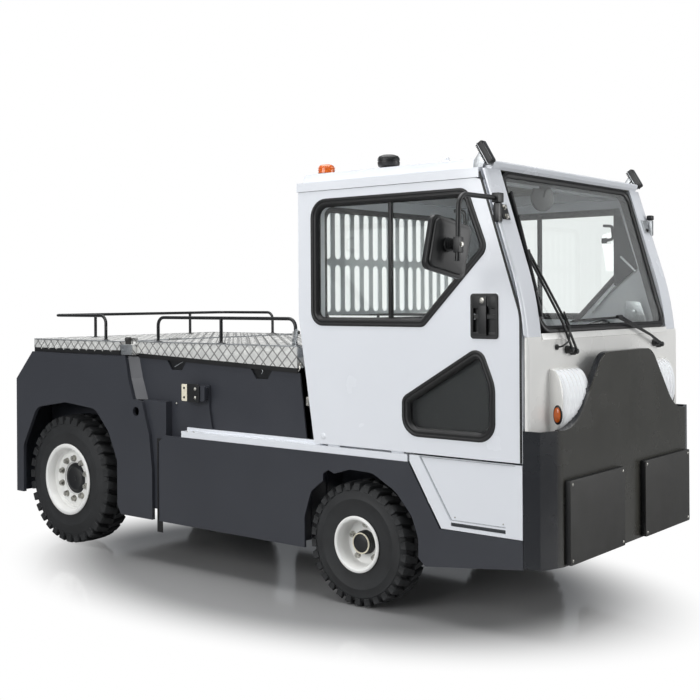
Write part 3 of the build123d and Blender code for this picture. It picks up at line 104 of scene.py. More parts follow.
# Each pattern is the field, used range and colour shares of its tone, the field, used range and
# ends of its gloss, and the field and height in millimetres of its relief.
PATTERNS = {
    # Orange peel of about 4 mm and a slow drift of tone and gloss.
    "powder": ((("noise", 600), 0.3, 0.7, 0.93, 1.06), (("noise", 180, 4), 0.3, 0.7, -0.04, 0.05),
               (("noise", 4, 1), 0.05)),
    # Sprayed gloss enamel with a very slight wave.
    "enamel": ((("noise", 900), 0.35, 0.65, 0.975, 1.0), (("noise", 250, 4), 0.3, 0.7, -0.03, 0.04),
               (("noise", 7, 1), 0.04)),
    # Moulded rubber with grey bloom in patches.
    "bloomed": ((("noise", 90, 5, 0.65), 0.35, 0.75, 1.0, 1.9), (("noise", 90, 5, 0.65), 0.3, 0.7, -0.06, 0.08),
                (("noise", 3, 3), 0.25)),
    # Moulded plastic or rubber with a fine grain of about 1.5 mm.
    "grained": ((("noise", 120, 3), 0, 1, 0.85, 1.2), (("noise", 120, 3), 0.3, 0.7, -0.05, 0.06),
                (("grain", 1000 / 650), 0.12)),
    # Rolled sheet: long faint streaks and small scuffs.
    "rolled": ((("noise", 25, 5, 0.7), 0.35, 0.7, 0.82, 1.0), (("streak", 60, 4, 0.6), 0.3, 0.7, -0.08, 0.1),
               (("streak", 60, 4, 0.6), 0.06)),
    # Galvanised steel with crystal spangle of about 6 mm.
    "spangled": ((("crystal", 6.25), 0, 1, 0.8, 1.12), (("crystal", 6.25), 0, 1, -0.08, 0.1), None),
    # Cast or forged skin under paint with a coarse 5 mm grain.
    "cast": ((("noise", 5, 4, 0.6), 0, 1, 0.75, 1.25), None, (("noise", 5, 4, 0.6), 0.4)),
    # Seat cloth: a plain weave drawn coarse enough to show.
    "woven": ((("weave", 60.0), 0, 1, 0.7, 1.5), None, (("weave", 60.0), 0.5)),
}


def patterned(tree, place, colour, rough, pattern):
    """The sockets that a pattern drives."""
    tone, gloss, relief = PATTERNS[pattern]
    rows = dict.fromkeys(part[0] for part in (tone, gloss, relief) if part)
    fields = {row: field(tree, place, *row) for row in rows}
    row, start, end, dark, light = tone
    share = add(tree, "MapRange", {"Value": fields[row], "From Min": start, "From Max": end})
    made = {"Base Color": add(tree, "Mix", {"Factor": share, "A": shade(colour, dark), "B": shade(colour, light)},
            "Result", data_type="RGBA")}
    if gloss:
        row, start, end, less, more = gloss
        made["Roughness"] = add(tree, "MapRange", {"Value": fields[row], "From Min": start, "From Max": end,
                "To Min": rough + less, "To Max": rough + more})
    if relief:
        made["Normal"] = add(tree, "Bump", {"Height": fields[relief[0]], "Distance": relief[1] / 1000.0,
                "Strength": 1.0})
    return made


VALLEY_STEP = 0.065
FRONT_PLATE_X = (1.912, 1.922)
TOP_SHEEN_Z = (1.2162, 1.2168)


def painted_front_reflection(tree, place, colour, made):
    """Painted light on the bumper: its warm olive coat colour on the front plate is a painted floor reflection, and
    its wrapped corners are painted a blue-black shade.
    """
    ahead = add(tree, "SeparateXYZ", {"Vector": place})
    share = add(tree, "MapRange", {"Value": ahead, "From Min": FRONT_PLATE_X[0], "From Max": FRONT_PLATE_X[1]})
    # Painted shade on the wrapped corners, painted reflection colour on the front plate.
    return add(tree, "Mix", {"Factor": share, "A": linear("#14171d"), "B": made}, "Result", data_type="RGBA")


def painted_valley_shade_and_top_sheen(tree, place, colour, made):
    """Painted light on the tread plate: painted shade in crossing valleys every VALLEY_STEP metres, and a painted
    sheen that makes the lid tops half as bright as the flanges.
    """
    cells = []
    for hand in (1.0, -1.0):
        run = add(tree, "VectorMath", {0: place, 1: (1.0, hand, hand)}, "Value", operation="DOT_PRODUCT")
        count = add(tree, "Math", {0: run, 1: 1 / VALLEY_STEP}, operation="MULTIPLY")
        near = add(tree, "Math", {0: count, 1: 0.5}, operation="PINGPONG")
        cells.append(add(tree, "MapRange", {"Value": near, "From Min": 0.035, "From Max": 0.11}))
    crossed = add(tree, "Math", {0: cells[0], 1: cells[1]}, operation="MULTIPLY")
    # Painted shade in the valleys between the bar groups.
    flank = add(tree, "Mix", {"Factor": crossed, "A": shade(colour, 0.3), "B": made}, "Result", data_type="RGBA")
    # Painted sheen: the lid tops are painted half as bright as the flanges.
    painted_top_sheen = add(tree, "Mix", {"Factor": 1.0, "A": flank, "B": (0.5, 0.5, 0.5, 1.0)}, "Result", data_type="RGBA",
            blend_type="MULTIPLY")
    high = add(tree, "SeparateXYZ", {"Vector": place}, "Z")
    top = add(tree, "MapRange", {"Value": high, "From Min": TOP_SHEEN_Z[0], "From Max": TOP_SHEEN_Z[1]})
    return add(tree, "Mix", {"Factor": top, "A": flank, "B": painted_top_sheen}, "Result", data_type="RGBA")


def finish_of(name, base, rough, pattern, shader, over=None):
    """A surface material: colour, roughness, other sockets, a pattern and what is drawn over its colour."""
    material = bpy.data.materials.new(name)
    material.use_nodes = True
    tree = material.node_tree
    tree.nodes.clear()
    colour = linear(base)
    sockets = {"Base Color": colour, "Roughness": rough, **shader}
    if pattern:
        place = add(tree, "TexCoord", out="Object")
        sockets.update(patterned(tree, place, colour, rough, pattern))
        if over:
            sockets["Base Color"] = over(tree, place, colour, sockets["Base Color"])
    add(tree, "OutputMaterial", {"Surface": add(tree, "BsdfPrincipled", sockets)})
    return material


def coat(weight, rough):
    return {"Coat Weight": weight, "Coat Roughness": rough}


METAL = {"Metallic": 1.0}
MATERIALS = {row[0]: finish_of(*row) for row in (
    # Powder-coated steel plate: satin, dark blue grey, slight orange peel.
    ("charcoal_powder_coat", "#36383e", 0.34, "powder", {}),
    # The same coat on the thick bumper plate, a little smoother, its warmer olive colour a painted floor reflection on
    # the front plate.
    ("bumper_coat_painted_reflection", "#3d3c37", 0.26, "powder", {}, painted_front_reflection),
    # Sprayed white enamel on the cab panels: cool, glossy, smooth.
    ("white_cab_enamel", "#e9ecf1", 0.24, "enamel", coat(0.4, 0.06)),
    # Warm white enamel of the front cowl moulding.
    ("cowl_enamel", "#f7f6f2", 0.28, "enamel", coat(0.3, 0.08)),
    # White wheel enamel, sprayed on pressed steel.
    ("wheel_enamel", "#efefec", 0.3, "enamel", {}),
    # Solid tyre rubber: near black with grey bloom.
    ("tyre_rubber", "#1d1e1f", 0.62, "bloomed", {}),
    # Extruded rubber of frames and seals: black, half matt.
    ("seal_rubber", "#0e0e0f", 0.45, "grained", {}),
    # Moulded rubber of the bumper pads: olive black, half matt.
    ("pad_rubber", "#2b2a27", 0.5, "grained", {}),
    # Grained black plastic of mirrors, lamps and handles.
    ("black_moulding", "#121314", 0.42, "grained", {}),
    # Satin black paint on tube rails and brackets.
    ("black_tube_paint", "#101113", 0.32, "powder", {}),
    # Rolled aluminium of the tread plate: bright, with painted shade in the valleys and a painted sheen that darkens
    # the lid tops.
    ("tread_plate", "#f4f4f1", 0.4, "rolled", {"Metallic": 0.5}, painted_valley_shade_and_top_sheen),
    # Galvanised steel of latches and brackets: grey, spangled.
    ("galvanised_steel", "#b9bcbe", 0.38, "spangled", METAL),
    # Zinc plating of the fasteners: bright, slightly yellow.
    ("zinc_plate", "#c4c2bb", 0.3, "rolled", METAL),
    # Painted castings of axles and hubs: black, coarse.
    ("black_casting", "#17181a", 0.5, "cast", {}),
    # Woven seat cloth: dark grey, matt with a little sheen.
    ("seat_cloth", "#2b2d31", 0.9, "woven", {"Sheen Weight": 0.3}),
    # Moulded trim inside the cab: grey, matt.
    ("cab_trim", "#3d4145", 0.55, "grained", {}),
    # Felt board of the headlining: pale grey, dull.
    ("headlining", "#7a7a71", 0.85, "grained", {}),
    # Ribbed clear lens over a white lamp, with a faint painted glow standing for highlights on the unlit lamp.
    ("lamp_lens", "#fbfdff", 0.1, "enamel", {**coat(0.8, 0.03), "Emission Color": WHITE, "Emission Strength": 0.16}),
    # Smoked acrylic lens of the corner work lamps.
    ("smoked_lens", "#0b0c0e", 0.12, "enamel", coat(0.5, 0.04)),
    # Amber acrylic of the markers and the beacon.
    ("amber_lens", "#d8651a", 0.15, "enamel", coat(0.6, 0.03)),
    # Red acrylic of the tail lamps.
    ("red_lens", "#a8161a", 0.15, "enamel", coat(0.6, 0.03)),
    # Cream nylon of the door buffer.
    ("cream_nylon", "#e9e2cd", 0.45, "grained", {}),
    # Olive grey lining under the visor: matt.
    ("olive_trim", "#55564d", 0.7, "grained", {}),
    # Silvered mirror glass.
    ("mirror_silver", "#e6e9ea", 0.03, None, METAL),
    # Float glass, faintly green.
    ("float_glass", "#fafdfc", 0.0, None, {"Transmission Weight": 1.0, "IOR": 1.45}),
)}

NODE_FINISH = {
    "charcoal_powder_coat": "frame_rails frame_crossmembers rear_side_plates storage_tub drive_housing rear_panel "
                            "tow_hitch battery_covers side_skirts cab_floor",
    "bumper_coat_painted_reflection": "front_bumper",
    "white_cab_enamel": "door_rails step_panels cab_pillars cab_rear_wall window_guard cab_roof door_panel_right "
                        "door_panel_left",
    "cowl_enamel": "cab_cowl",
    "wheel_enamel": "front_rim_right front_rim_left rear_rim_right rear_rim_left",
    "tyre_rubber": "front_tyre_right front_tyre_left rear_tyre_right rear_tyre_left",
    "seal_rubber": "glass_seals lid_seals door_trim_right door_trim_left",
    "pad_rubber": "bumper_pads",
    "black_moulding": "mirrors wipers roof_lamps steering_wheel",
    "black_tube_paint": "rear_lid_rail front_lid_rails battery",
    "tread_plate": "rear_lid front_lid deck_bridge",
    "black_casting": "front_axle rear_axle tie_rod knuckle_right knuckle_left",
    "seat_cloth": "seat_cushions seat_backs",
    "cab_trim": "dashboard",
    "lamp_lens": "headlamps",
    "amber_lens": "marker_lamps",
    "float_glass": "cab_glass door_glass_right door_glass_left",
}


def finish_nodes():
    """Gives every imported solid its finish."""
    for finish, names in NODE_FINISH.items():
        for name in names.split():
            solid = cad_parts[name]
            solid.data.materials.clear()
            solid.data.materials.append(MATERIALS[finish])


# Stage

# Name, place, aim, width, height and power of each lamp.
LAMPS = [
    ("overhead_softbox", (0.0, -0.4, 6.2), (0.0, -0.2, 0.0), 6.0, 5.0, 390.0),
    ("side_softbox", (0.0, -6.5, 3.2), (0.0, 0.0, 0.9), 5.0, 3.0, 235.0),
    ("front_softbox", (6.6, 3.2, 2.2), (1.8, 0.0, 0.9), 3.0, 3.0, 165.0),
    ("rear_softbox", (-7.0, 3.0, 3.4), (0.0, 0.0, 0.9), 4.0, 3.0, 60.0),
]
CAMERA_PLACE = (4.2164, -4.8577 + MIDDLE_Y, 1.4541)
CAMERA_TURN, CAMERA_ROLL = 0.6843, math.radians(-0.334)
CAMERA_LENS, CAMERA_SHIFT = 57.76, -0.0742


def lit_floor(tree):
    """Glossy grey floor whose shade fades to white away from the vehicle, where the camera sees it."""
    place = add(tree, "TexCoord", out="Object")
    drawn = add(tree, "Mapping", {"Vector": place, "Location": (-0.11, 0.02, 0.0), "Scale": (0.40, 0.62, 0.0)})
    away = add(tree, "VectorMath", {0: drawn}, "Value", operation="LENGTH")
    faded = add(tree, "MapRange", {"Value": away, "From Min": 0.53, "From Max": 0.86},
            interpolation_type="SMOOTHSTEP")
    sealed = add(tree, "BsdfPrincipled", {"Base Color": linear("#a4a4a4"), "Roughness": 0.09,
            "Specular IOR Level": 0.75})
    white = add(tree, "Emission", {"Color": WHITE, "Strength": 1.0})
    seen = add(tree, "LightPath", out="Is Camera Ray")
    share = add(tree, "Math", {0: faded, 1: seen}, operation="MULTIPLY")
    mixed = add(tree, "MixShader", {"Fac": share, 1: sealed, 2: white})
    add(tree, "OutputMaterial", {"Surface": mixed})


def white_room(tree):
    """Dim room for the reflections, white for the camera and through the glass."""
    direct, through = [add(tree, "LightPath", out=ray) for ray in ("Is Camera Ray", "Is Transmission Ray")]
    either = add(tree, "Math", {0: direct, 1: through}, operation="MAXIMUM")
    room = add(tree, "Background", {"Color": linear("#dfe3e8"), "Strength": 0.35})
    white = add(tree, "Background", {"Color": WHITE, "Strength": 1.0})
    add(tree, "OutputWorld", {"Surface": add(tree, "MixShader", {"Fac": either, 1: room, 2: white})})


def stage():
    """Floor, surroundings, soft lamps and the camera."""
    scene = bpy.context.scene
    floor_finish = bpy.data.materials.new("studio_floor")
    scene.world = bpy.data.worlds.new("studio")
    for owner, drawn in ((floor_finish, lit_floor), (scene.world, white_room)):
        owner.use_nodes = True
        owner.node_tree.nodes.clear()
        drawn(owner.node_tree)
    bpy.ops.mesh.primitive_plane_add(size=60.0)
    floor = bpy.context.object
    floor.name = "studio_floor"
    floor.data.materials.append(floor_finish)

    for name, place, aim, width, height, power in LAMPS:
        light = bpy.data.lights.new(name, "AREA")
        light.shape = "RECTANGLE"
        light.size, light.size_y, light.energy = width, height, power
        lamp = bpy.data.objects.new(name, light)
        lamp.location = place
        lamp.rotation_euler = (Vector(aim) - Vector(place)).to_track_quat("-Z", "Y").to_euler()
        scene.collection.objects.link(lamp)

    right = Vector((math.cos(CAMERA_TURN), math.sin(CAMERA_TURN), 0))
    ahead = Vector((-math.sin(CAMERA_TURN), math.cos(CAMERA_TURN), 0))
    across = right * math.cos(CAMERA_ROLL) + Vector(UP) * math.sin(CAMERA_ROLL)
    high = Vector(UP) * math.cos(CAMERA_ROLL) - right * math.sin(CAMERA_ROLL)
    facing = Matrix((across, high, -ahead)).transposed().to_4x4()
    data = bpy.data.cameras.new("studio_camera")
    data.lens, data.shift_y = CAMERA_LENS, CAMERA_SHIFT
    camera = bpy.data.objects.new("studio_camera", data)
    camera.matrix_world = Matrix.Translation(CAMERA_PLACE) @ facing
    scene.collection.objects.link(camera)
    scene.camera = camera
    scene.view_settings.view_transform = "Standard"


# Building pieces

def at(x, y, z):
    """Point in metres from millimetres on the vehicle."""
    return Vector((x / 1000.0 + REAR_AXLE_X, y / 1000.0 + MIDDLE_Y, z / 1000.0))


def on_side(u, v, depth):
    return at(u, depth, v)


def on_front(u, v, depth):
    return at(depth, u, v)


def on_plan(u, v, depth):
    return at(u, v, depth)


def on_own(stand):
    """Lays an outline on a turned piece whose face looks along its own X."""
    return lambda u, v, depth: stand @ (Vector((depth, u, v)) / 1000)


def rounded(corners, steps=5, closed=True):
    """Points of an outline or path whose corners are points with an optional radius after them."""
    points = []
    last = len(corners) - 1
    for index, (here, radius) in enumerate(corners):
        here = Vector(here)
        if not radius or (not closed and index in (0, last)):
            points.append(here)
            continue
        before = (Vector(corners[index - 1][0]) - here).normalized()
        after = (Vector(corners[(index + 1) % len(corners)][0]) - here).normalized()
        half = before.angle(after) / 2
        centre = here + (before + after).normalized() * (radius / math.sin(half))
        start = here + before * (radius / math.tan(half)) - centre
        end = here + after * (radius / math.tan(half)) - centre
        turn = math.pi - 2 * half
        for step in range(steps + 1):
            share = step / steps
            points.append(centre + (start * math.sin((1 - share) * turn) + end * math.sin(share * turn)) /
                    math.sin(turn))
    return points


def flat(*corners):
    """Outline corners (u, v) or (u, v, radius) as pairs of point and radius."""
    return [((c[0], c[1]), c[2] if len(c) > 2 else 0.0) for c in corners]


def oblong(u_low, u_high, v_low, v_high, radius=0.0):
    """Rectangular outline with rounded corners."""
    return [((u, v), radius) for u, v in ((u_low, v_low), (u_high, v_low), (u_high, v_high), (u_low, v_high))]


def soften(made, edges, millimetres, segments=2):
    bmesh.ops.bevel(made, geom=list(edges), offset=millimetres / 1000.0, segments=segments, affect="EDGES",
            profile=0.6, clamp_overlap=True)


def skinned(rings, loop=False):
    """Closed surface through rings of points; a ring of one is a pole, and loop joins the last to the first."""
    made = bmesh.new()
    rings = [[made.verts.new(point) for point in ring] for ring in rings]
    if not loop:
        made.faces.new(rings[0])
        made.faces.new(rings[-1])
    for ring, after in zip(rings, rings[1:] + (rings[:1] if loop else [])):
        count = max(len(ring), len(after))
        for k in range(count):
            n = (k + 1) % count
            corners = dict.fromkeys((ring[k % len(ring)], ring[n % len(ring)], after[n % len(after)],
                    after[k % len(after)]))
            if len(corners) > 2:
                made.faces.new(list(corners))
    bmesh.ops.recalc_face_normals(made, faces=made.faces)
    return made


def prism(corners, low, high, lay, edge=0.0, steps=5):
    """Closed plate between two depths; lay puts its outline on the vehicle."""
    made = skinned([[lay(p[0], p[1], depth) for p in rounded(corners, steps)] for depth in (low, high)])
    if edge:
        made.faces.ensure_lookup_table()
        soften(made, dict.fromkeys(e for cap in made.faces[:2] for e in cap.edges), edge)
    return made


def bead(corners, section, lay, steps=5, closed=True):
    """Strip of a closed section along an outline; the section is (outward, depth) pairs in mm."""
    points = [Vector((p[0], p[1])) for p in rounded(corners, steps, closed)]
    count = len(points)
    area = sum(points[i - 1].cross(points[i]) for i in range(count)) if closed else 1.0
    hand = 1.0 if area > 0 else -1.0
    rings = []
    for i, point in enumerate(points):
        before = (point - points[i - 1]).normalized() if closed or i else None
        after = (points[(i + 1) % count] - point).normalized() if closed or i < count - 1 else None
        before, after = before or after, after or before
        normal = Vector((before.y + after.y, -before.x - after.x)).normalized() * hand
        mitre = max(0.4, normal.dot(Vector((after.y, -after.x)) * hand))
        rings.append([lay(*(point + normal * (out / mitre)), depth) for out, depth in section])
    return skinned(rings, closed)


def slab(x_low, x_high, y_low, y_high, z_low, z_high, edge=1.5):
    """Box between six planes with softened edges."""
    made = prism(oblong(x_low, x_high, y_low, y_high), z_low, z_high, on_plan)
    if edge:
        soften(made, made.edges, edge)
    return made


def circle(steps):
    """Cosine and sine of evenly spaced turns."""
    return [(math.cos(a), math.sin(a)) for a in (2 * math.pi * k / steps for k in range(steps))]


def turned(profile, steps=48):
    """Closed ring or disc turned about the Y axis through zero, from (radius, y) in millimetres."""
    around = circle(steps)
    return skinned([[(radius * c / 1000.0, y / 1000.0, radius * s / 1000.0)
            for c, s in (around if radius else around[:1])] for radius, y in profile], True)


def pipe(corners, radius, sides=12, steps=6):
    """Closed round tube in metres along corners, given as pairs of at() point and bend radius in metres."""
    points = rounded(corners, steps, closed=False)
    rings = []
    across = None
    for i, point in enumerate(points):
        ahead = (points[min(i + 1, len(points) - 1)] - points[max(i - 1, 0)]).normalized()
        if across is None:
            across = ahead.orthogonal().normalized()
        across = (across - ahead * across.dot(ahead)).normalized()
        other = ahead.cross(across)
        rings.append([point + (across * c + other * s) * radius for c, s in circle(sides)])
    return skinned(rings)


def moved(made, matrix):
    bmesh.ops.transform(made, matrix=matrix, verts=made.verts)
    return made


def turned_at(profile, place, direction, steps=32):
    """A turned form whose -Y side looks along a direction, at a point."""
    spin = Vector(OUT).rotation_difference(Vector(direction).normalized())
    return moved(turned(profile, steps), Matrix.Translation(place) @ spin.to_matrix().to_4x4())


def brick(place, size, edge=1.5, turn=None):
    """Softened block centred on a place, with its size along its own axes."""
    x, y, z = (v / 2000.0 for v in size)
    made = skinned([[(-x, -y, h), (x, -y, h), (x, y, h), (-x, y, h)] for h in (-z, z)])
    soften(made, made.edges, edge)
    matrix = Matrix.Translation(at(*place))
    return moved(made, matrix @ turn if turn else matrix)


def tilt(x=0.0, y=0.0, z=0.0):
    """Turn about X, then Y, then Z of the piece's own axes, in degrees."""
    made = Matrix.Identity(4)
    for degrees, axis in ((x, "X"), (y, "Y"), (z, "Z")):
        made = made @ Matrix.Rotation(math.radians(degrees), 4, axis)
    return made


def rod(points, radius, bend=0.0, sides=12):
    """Round bar through places in millimetres, with one bend radius at its inner corners."""
    return pipe([(at(*p), bend / 1000.0) for p in points], radius / 1000.0, sides)


def joined(*parts):
    """Several forms as one."""
    made = bmesh.new()
    for part in parts:
        carrier = bpy.data.meshes.new("carrier")
        part.to_mesh(carrier)
        part.free()
        made.from_mesh(carrier)
        bpy.data.meshes.remove(carrier)
    return made


def flipped(made, matrix):
    """A mirrored copy of a form, its faces outward."""
    copy = moved(made.copy(), matrix)
    bmesh.ops.reverse_faces(copy, faces=copy.faces)
    return copy


def twin(made):
    """The same form on the vehicle's left side."""
    return flipped(made, Matrix.Translation((0, 2 * MIDDLE_Y, 0)) @ Matrix.Diagonal((1, -1, 1, 1)))


def shown(name, made, finish, smooth=35.0):
    """An object of the form, with its finish."""
    mesh = bpy.data.meshes.new(name)
    made.to_mesh(mesh)
    made.free()
    mesh.materials.append(MATERIALS[finish])
    if smooth:
        mesh.shade_smooth()
        mesh.set_sharp_from_angle(angle=math.radians(smooth))
    obj = bpy.data.objects.new(name, mesh)
    bpy.context.scene.collection.objects.link(obj)
    return obj


def piece(name, made, finish, body="chassis", stands_for=(), smooth=35.0):
    """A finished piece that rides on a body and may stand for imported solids."""
    obj = shown(name, made, finish, smooth)
    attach(obj, body)
    if stands_for:
        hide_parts(*stands_for)
    return obj


def pair(name, made, finish, body="chassis", stands_for=(), smooth=35.0):
    """A right piece and its twin; {side} in a name stands for right or left."""
    left = twin(made)
    for side, form in (("right", made), ("left", left)):
        piece(name + "_" + side, form, finish, body.replace("{side}", side),
                [n.replace("{side}", side) for n in stands_for], smooth)


# Repeats by geometry nodes

def repeat_tree(name, **kinds):
    """A geometry tree with its inputs; a kind is the end of a socket type's name."""
    tree = bpy.data.node_groups.new(name, "GeometryNodeTree")
    for label, kind in {"Geometry": "Geometry", "Form": "Object", "Finish": "Material", **kinds}.items():
        tree.interface.new_socket(label.replace("_", " "), in_out="INPUT", socket_type="NodeSocket" + kind)
    tree.interface.new_socket("Geometry", in_out="OUTPUT", socket_type="NodeSocketGeometry")
    return tree, add(tree, "NodeGroupInput").node.outputs


def copy_tree(tree, given, points, spin):
    """Puts the form on the points with their turn, realizes the copies and sets their finish."""
    form = add(tree, "GeometryNodeObjectInfo", {"Object": given["Form"]}, "Geometry")
    copies = add(tree, "GeometryNodeInstanceOnPoints", {"Points": points, "Instance": form, "Rotation": spin})
    real = add(tree, "GeometryNodeRealizeInstances", {"Geometry": copies})
    dressed = add(tree, "GeometryNodeSetMaterial", {"Geometry": real, "Material": given["Finish"]})
    add(tree, "NodeGroupOutput", {"Geometry": dressed})
    return tree


def round_tree():
    """Copies of a form turned evenly about the Y axis."""
    tree, given = repeat_tree("round_the_axle", Count="Int")
    points = add(tree, "GeometryNodeMeshLine", {"Count": given["Count"], "Offset": (0.0, 0.0, 0.0)}, mode="OFFSET")
    share = add(tree, "Math", {0: add(tree, "GeometryNodeInputIndex"), 1: given["Count"]}, operation="DIVIDE")
    angle = add(tree, "Math", {0: share, 1: 2 * math.pi}, operation="MULTIPLY")
    return copy_tree(tree, given, points, add(tree, "CombineXYZ", {"Y": angle}))


def spot_tree():
    """Copies of a form at the base's points, turned by their turn attribute."""
    tree, given = repeat_tree("at_the_spots")
    turn = add(tree, "GeometryNodeInputNamedAttribute", {"Name": "turn"}, data_type="FLOAT_VECTOR")
    return copy_tree(tree, given, given["Geometry"], turn)


def plate_tree():
    """Groups of raised bars on a turned square grid, every second group turned a quarter."""
    tree, given = repeat_tree("tread_groups", Across="Int", Pitch="Float", Half_Length="Float", Half_Width="Float")
    across = given["Across"]
    reach = add(tree, "Math", {0: across, 1: 1.0}, operation="SUBTRACT")
    size = add(tree, "Math", {0: reach, 1: given["Pitch"]}, operation="MULTIPLY")
    grid = add(tree, "GeometryNodeMeshGrid", {"Size X": size, "Size Y": size, "Vertices X": across,
            "Vertices Y": across})
    index = add(tree, "GeometryNodeInputIndex")
    row = add(tree, "Math", {0: index, 1: across}, operation="DIVIDE")
    column = add(tree, "Math", {0: index, 1: across}, operation="MODULO")
    angle = add(tree, "Math", {0: row}, operation="FLOOR")
    for value, operation in ((column, "ADD"), (2.0, "MODULO"), (math.pi / 2, "MULTIPLY"), (math.pi / 4, "ADD")):
        angle = add(tree, "Math", {0: angle, 1: value}, operation=operation)
    marked = add(tree, "GeometryNodeStoreNamedAttribute", {"Geometry": grid, "Name": "turned", "Value": angle},
            data_type="FLOAT", domain="POINT")
    laid = add(tree, "GeometryNodeTransform", {"Geometry": marked, "Rotation": (0.0, 0.0, math.pi / 4)})
    spot = add(tree, "SeparateXYZ", {0: add(tree, "GeometryNodeInputPosition")}).node.outputs
    tests = []
    for label, limit in (("X", "Half Length"), ("Y", "Half Width")):
        far = add(tree, "Math", {0: spot[label]}, operation="ABSOLUTE")
        tests.append(add(tree, "FunctionNodeCompare", {0: far, 1: given[limit]}, data_type="FLOAT",
                operation="GREATER_THAN"))
    outside = add(tree, "FunctionNodeBooleanMath", {0: tests[0], 1: tests[1]}, operation="OR")
    kept = add(tree, "GeometryNodeDeleteGeometry", {"Geometry": laid, "Selection": outside}, domain="POINT")
    turn = add(tree, "GeometryNodeInputNamedAttribute", {"Name": "turned"}, data_type="FLOAT")
    return copy_tree(tree, given, kept, add(tree, "CombineXYZ", {"Z": turn}))


TREES = {"round": round_tree(), "spots": spot_tree(), "plate": plate_tree()}


def repeated(kind, form, finish, base=None, **inputs):
    """The plain form of a tree's result, made from one form."""
    one = shown("one_of_many", form, finish)
    carrier = bpy.data.objects.new("carrier", base or bpy.data.meshes.new("base"))
    bpy.context.scene.collection.objects.link(carrier)
    modifier = carrier.modifiers.new("repeat", "NODES")
    modifier.node_group = TREES[kind]
    named = {item.name: item.identifier for item in TREES[kind].interface.items_tree if item.in_out == "INPUT"}
    for label, value in {"form": one, "finish": MATERIALS[finish], **inputs}.items():
        modifier[named[label.replace("_", " ").title()]] = value
    graph = bpy.context.evaluated_depsgraph_get()
    mesh = bpy.data.meshes.new_from_object(carrier.evaluated_get(graph))
    made = bmesh.new()
    made.from_mesh(mesh)
    for used in (carrier, one):
        bpy.data.objects.remove(used)
    bpy.data.meshes.remove(mesh)
    return made


def spotted(form, places, direction=OUT, finish="zinc_plate"):
    """Copies of a form at places in millimetres, its +Z turned to one direction."""
    base = bpy.data.meshes.new("spots")
    base.from_pydata([tuple(at(*place)) for place in places], [], [])
    turn = base.attributes.new("turn", "FLOAT_VECTOR", "POINT")
    spin = Vector(UP).rotation_difference(Vector(direction))
    for index in range(len(places)):
        turn.data[index].vector = tuple(spin.to_euler())
    return repeated("spots", form, finish, base)


def hex_head(across, height, washer=0.0):
    """Bolt head that stands on z = 0 with a domed top and a washer."""
    made = bmesh.new()
    size = across / 2000.0 / math.cos(math.pi / 6)
    bmesh.ops.create_cone(made, cap_ends=True, segments=6, radius1=size, radius2=size, depth=height / 1000.0)
    moved(made, Matrix.Translation((0, 0, height / 2000.0 + washer / 1000.0)))
    crown = (height * 0.9 + washer) / 1000.0
    soften(made, [e for e in made.edges if all(v.co.z > crown for v in e.verts)], across * 0.07, 2)
    if washer:
        ring = bmesh.new()
        bmesh.ops.create_cone(ring, cap_ends=True, segments=20, radius1=size * 1.25, radius2=size * 1.25,
                depth=washer / 1000.0)
        moved(ring, Matrix.Translation((0, 0, washer / 2000.0)))
        made = joined(made, ring)
    return made


def button_head(across, height):
    """Round screw head with a socket, standing on z = 0."""
    radius = across / 2
    form = turned([(0, -height * 0.55), (radius * 0.42, -height * 0.55), (radius * 0.45, -height),
            (radius * 0.72, -height * 0.86), (radius, -height * 0.35), (radius, 0), (0, 0)], 16)
    return moved(form, Matrix.Rotation(-math.pi / 2, 4, "X"))


# Wheels

def tread_lug(radius, width, deep, halves, slants):
    """One lug from the sidewall over the shoulder to the middle of the tread, at the top of the tyre."""
    half = width / 2
    path = [(0.866 * radius, -half), (radius - 11, -half), (radius - 4, -half + 10), (radius - 1, -half * 0.46),
            (radius, 3)]
    floor = [(0.855 * radius, -half + 14), (radius - deep - 6, -half + 16), (radius - deep - 2, -half + 22),
            (radius - deep, -half * 0.46), (radius - deep, 3)]
    rings = []
    for (r, y), (low, inner_y), reach, slant in zip(path, floor, halves, slants):
        ring = []
        for across, up, side in ((-reach, r, y), (reach, r, y), (reach + 4, low, inner_y), (-reach - 4, low, inner_y)):
            turn = (across + slant) / radius
            ring.append((up * math.sin(turn) / 1000, side / 1000, up * math.cos(turn) / 1000))
        rings.append(ring)
    made = skinned(rings)
    made.verts.index_update()
    edges = []
    for edge in made.edges:
        first, second = sorted(v.index for v in edge.verts)
        outer = first % 4 < 2 and second % 4 < 2
        if outer and (second // 4 - first // 4 == 1 or {first // 4, second // 4} <= {0, 4}):
            edges.append(edge)
    side = [f for f in made.faces if f.normal.y < -0.9]
    bmesh.ops.inset_region(made, faces=side, thickness=0.007, depth=-0.0022)
    soften(made, [e for e in edges if e.is_valid], 2.6, 2)
    return made


def tyre(name, radius, width, seat, lugs, deep, halves, slants, centre, body, stands_for):
    """Solid tyre: carcass with a raised sidewall ring and a staggered row of lugs on each side."""
    half = width / 2
    side = [(seat + 12, -half + 2.5), (seat + 22, -half + 1), (0.70 * radius, -half + 1.5),
            (0.712 * radius, -half - 0.6), (0.728 * radius, -half - 0.6), (0.74 * radius, -half + 1.5),
            (0.845 * radius, -half + 2), (0.862 * radius, -half + 6), (radius - deep - 8, -half + 12),
            (radius - deep - 2, -half + 20)]
    profile = [(seat, -half + 4)] + side + [(r, -y) for r, y in reversed(side)] + [(seat, half - 4)]
    made = turned(profile, 120)
    row = repeated("round", tread_lug(radius, width, deep, halves, slants), "tyre_rubber", count=lugs)
    other = flipped(row, Matrix.Rotation(math.pi / lugs, 4, "Y") @ Matrix.Diagonal((1, -1, 1, 1)))
    made = moved(joined(made, row, other), Matrix.Translation(at(*centre)))
    pair(name, made, "tyre_rubber", body, stands_for)


